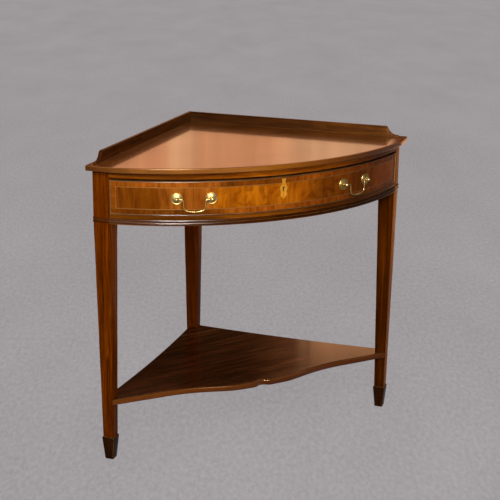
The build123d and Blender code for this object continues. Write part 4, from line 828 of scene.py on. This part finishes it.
# Azimuth 0 is in front of the table and goes to the right. Degrees, metres and watts.
lampAim = (0, 0, 0.5)
lamps = {
    "keyFront": {"azimuth": -22, "elevation": 28, "distance": 2.6, "size": (1.1, 1.1), "watts": 44},
    "fillLeft": {"azimuth": -75, "elevation": 30, "distance": 3.2, "size": (1.2, 1.2), "watts": 5},
    "fillRight": {"azimuth": 64, "elevation": 22, "distance": 3.2, "size": (1.2, 1.2), "watts": 7,
                  "lights": "matt"},
    "windowStrip": {"azimuth": -28, "elevation": 27, "distance": 2.7, "size": (0.6, 1.5), "watts": 150,
                    "lights": "gloss"},
}
# The cards stand upright a metre behind the table and face it. A card's light goes from its strength to the
# last share of it between the fade's two heights.
cardPlace = {"azimuth": 154, "distance": 1.0, "span": (-1.4, 1.6), "foldScale": 11.0}
folds = {1: 0.4, 2: 0.6, 3: 0.86, 4: 1.14}
cards = {
    "topReflection": {"heights": (0.86, 1.9), "strength": 1.27, "fade": (10, 11, 1), "stops": [
        (0.0, "#301808"), (0.295, "#4A2A14"), (0.325, "#F8AC7C"), (0.382, "#F8AA7A"), (0.392, "#FFC08E"),
        (0.41, "#FFBC8A"), (0.425, "#F2A878"), (0.5, "#F2A878"), (0.55, "#FCBE8E"), (0.6, "#FABE8E"),
        (0.634, "#F8B488"), (0.645, "#5A3018"), (1.0, "#301808")]},
    "shelfReflection": {"heights": (0.1, 0.85), "strength": 2.1, "fade": (0.5, 0.61, 0.35), "stops": [
        (0.0, "#241408"), (0.46, "#2A180A"), (0.5, "#4A2A16"), (0.535, "#6E4228"), (0.543, "#C08860"),
        (0.547, "#C08860"), (0.551, "#6A4228"), (0.556, "#E0A070"), (0.75, "#E8A878")]},
}
view = {"azimuth": -26.0088, "elevation": 16.3577, "roll": 0.6580, "place": (-1.32667, -2.86946, 1.40545),
        "lens": 89.69, "shift": (-0.0141, -0.0101)}


def seenShare(tree):
    # One for the rays that show a thing, straight or in a reflection, and none for the rays that light others
    rays = addNode(tree, "LightPath").outputs
    seen = addNode(tree, "Math", {0: rays["Is Camera Ray"], 1: rays["Is Glossy Ray"]}, operation="MAXIMUM")
    return addNode(tree, "Math", {0: seen, 1: rays["Is Transmission Ray"]}, operation="MAXIMUM")


def floorMaterial():
    # Plain grey paper with a fine mottle. Its own tone is shown to the camera and in reflections, and the
    # light that falls on it keeps the table's shadow.
    material, tree = emptyMaterial("greyPaper")
    place = addNode(tree, "TexCoord").outputs["Object"]
    # Stretched along the camera's way, so that the grains look rounder from a low camera
    turned = addNode(tree, "Mapping", {"Vector": place, "Rotation": (0, 0, math.radians(paper["turn"])),
                     "Scale": (1, paper["stretch"], 1)}, vector_type="TEXTURE")
    grains = addNode(tree, "TexNoise", {"Vector": turned, "Scale": 1 / (paper["grainMm"] * mm),
                     "Detail": 3.0, "Roughness": 0.7})
    clouds = addNode(tree, "TexNoise", {"Vector": turned, "Scale": 1 / (paper["cloudMm"] * mm),
                     "Detail": 5.0, "Roughness": 0.6})
    both = addNode(tree, "Mix", {0: paper["cloudShare"], 2: grains, 3: clouds})
    tone = addNode(tree, "MapRange", {0: both, **mottle})
    colour = addNode(tree, "VectorMath", {0: hexLinear(paper["tone"])[:3], "Scale": tone}, operation="SCALE")
    lit = addNode(tree, "BsdfDiffuse", {"Color": colour})
    glow = addNode(tree, "Emission", {"Color": colour, "Strength": 1.0})
    share = addNode(tree, "Math", {0: seenShare(tree), 1: paper["glow"]}, operation="MULTIPLY")
    mixed = addNode(tree, "MixShader", {0: share, 1: lit, 2: glow})
    addNode(tree, "OutputMaterial", {0: mixed})
    return material


def addCard(name, heights, strength, fade, stops):
    # A card that is seen in reflections only: toned along its length, with soft upright bands in its glow
    azimuth = math.radians(cardPlace["azimuth"])
    level = np.array([-math.cos(azimuth), -math.sin(azimuth), 0])
    middle = np.array([math.sin(azimuth), -math.cos(azimuth), 0]) * cardPlace["distance"]
    (near, far), (low, high) = cardPlace["span"], heights
    corners = [(near, low), (far, low), (far, high), (near, high)]
    mesh = bpy.data.meshes.new(name)
    mesh.from_pydata([tuple(middle + level * along + [0, 0, up]) for along, up in corners], [],
                     [(0, 1, 2, 3)])
    material, tree = emptyMaterial(name)
    place = addNode(tree, "TexCoord").outputs["Object"]
    length = addNode(tree, "VectorMath", {0: place, 1: tuple(level)}, operation="DOT_PRODUCT")
    share = addNode(tree, "MapRange", {0: length, 1: near, 2: far})
    tone = addNode(tree, "ValToRGB", {0: share}, stops=stops)
    spot = addNode(tree, "CombineXYZ", {0: length})
    fold = addNode(tree, "TexNoise", {"Vector": spot, "Scale": cardPlace["foldScale"], "Detail": 3.0})
    swing = addNode(tree, "MapRange", {0: fold, **folds})
    rise = addNode(tree, "SeparateXYZ", {0: place}).outputs["Z"]
    upward = addNode(tree, "MapRange", {0: rise, 1: fade[0], 2: fade[1], 3: strength, 4: strength * fade[2]})
    power = addNode(tree, "Math", {0: swing, 1: upward}, operation="MULTIPLY")
    glow = addNode(tree, "Emission", {"Color": tone, "Strength": power})
    addNode(tree, "OutputMaterial", {0: glow})
    mesh.materials.append(material)
    card = intoScene(name, mesh)
    card.visible_camera = card.visible_diffuse = card.visible_shadow = False


def outward(azimuth, elevation):
    # The way from the table to a point at these angles
    return Vector((math.sin(azimuth) * math.cos(elevation), -math.cos(azimuth) * math.cos(elevation),
                   math.sin(elevation)))


def addSoftbox(name, azimuth, elevation, distance, size, watts, lights="all"):
    # An area lamp on a sphere round its aim, turned towards it
    way = outward(math.radians(azimuth), math.radians(elevation))
    lamp = bpy.data.lights.new(name, "AREA")
    lamp.shape = "RECTANGLE"
    lamp.size, lamp.size_y = size
    lamp.energy = watts
    holder = intoScene(name, lamp)
    holder.location = Vector(lampAim) + way * distance
    holder.rotation_euler = way.to_track_quat("Z", "Y").to_euler()
    holder.visible_camera = False
    holder.visible_diffuse = lights != "gloss"
    holder.visible_glossy = lights != "matt"


reach = paper["halfWidth"]
floorMesh = bpy.data.meshes.new("floor")
floorMesh.from_pydata([(x * reach, y * reach, 0) for x, y in ((-1, -1), (1, -1), (1, 1), (-1, 1))], [],
                      [(0, 1, 2, 3)])
floorMesh.materials.append(floorMaterial())
floor = intoScene("floor", floorMesh)
for name, lamp in lamps.items():
    addSoftbox(name, **lamp)
for name, card in cards.items():
    addCard(name, **card)

world = bpy.data.worlds.new("studioAir")
bpy.context.scene.world = world
world.use_nodes = True
tree = world.node_tree
tree.nodes.clear()
around = addNode(tree, "Background", {"Color": hexLinear(air["tone"]), "Strength": air["strength"]})
# What is seen past the floor's edge has the floor's tone, so that the horizon hardly shows
backdrop = addNode(tree, "Background", {"Color": hexLinear(paper["tone"]), "Strength": 1.0})
mixed = addNode(tree, "MixShader", {0: seenShare(tree), 1: around, 2: backdrop})
addNode(tree, "OutputWorld", {0: mixed})

azimuth, elevation, roll = (math.radians(view[key]) for key in ("azimuth", "elevation", "roll"))
back = outward(azimuth, elevation)
levelRight = Vector((math.cos(azimuth), math.sin(azimuth), 0))
levelUp = back.cross(levelRight)
right = levelRight * math.cos(roll) + levelUp * math.sin(roll)
up = levelUp * math.cos(roll) - levelRight * math.sin(roll)
lens = bpy.data.cameras.new("camera")
lens.lens = view["lens"]
lens.shift_x, lens.shift_y = view["shift"]
lens.clip_end = 200
camera = intoScene("camera", lens)
rows = [tuple(row) for row in zip(right, up, back, view["place"])]
camera.matrix_world = Matrix(rows + [(0, 0, 0, 1)])
bpy.context.scene.camera = camera
bpy.context.scene.view_settings.view_transform = "Standard"
print("studio done")
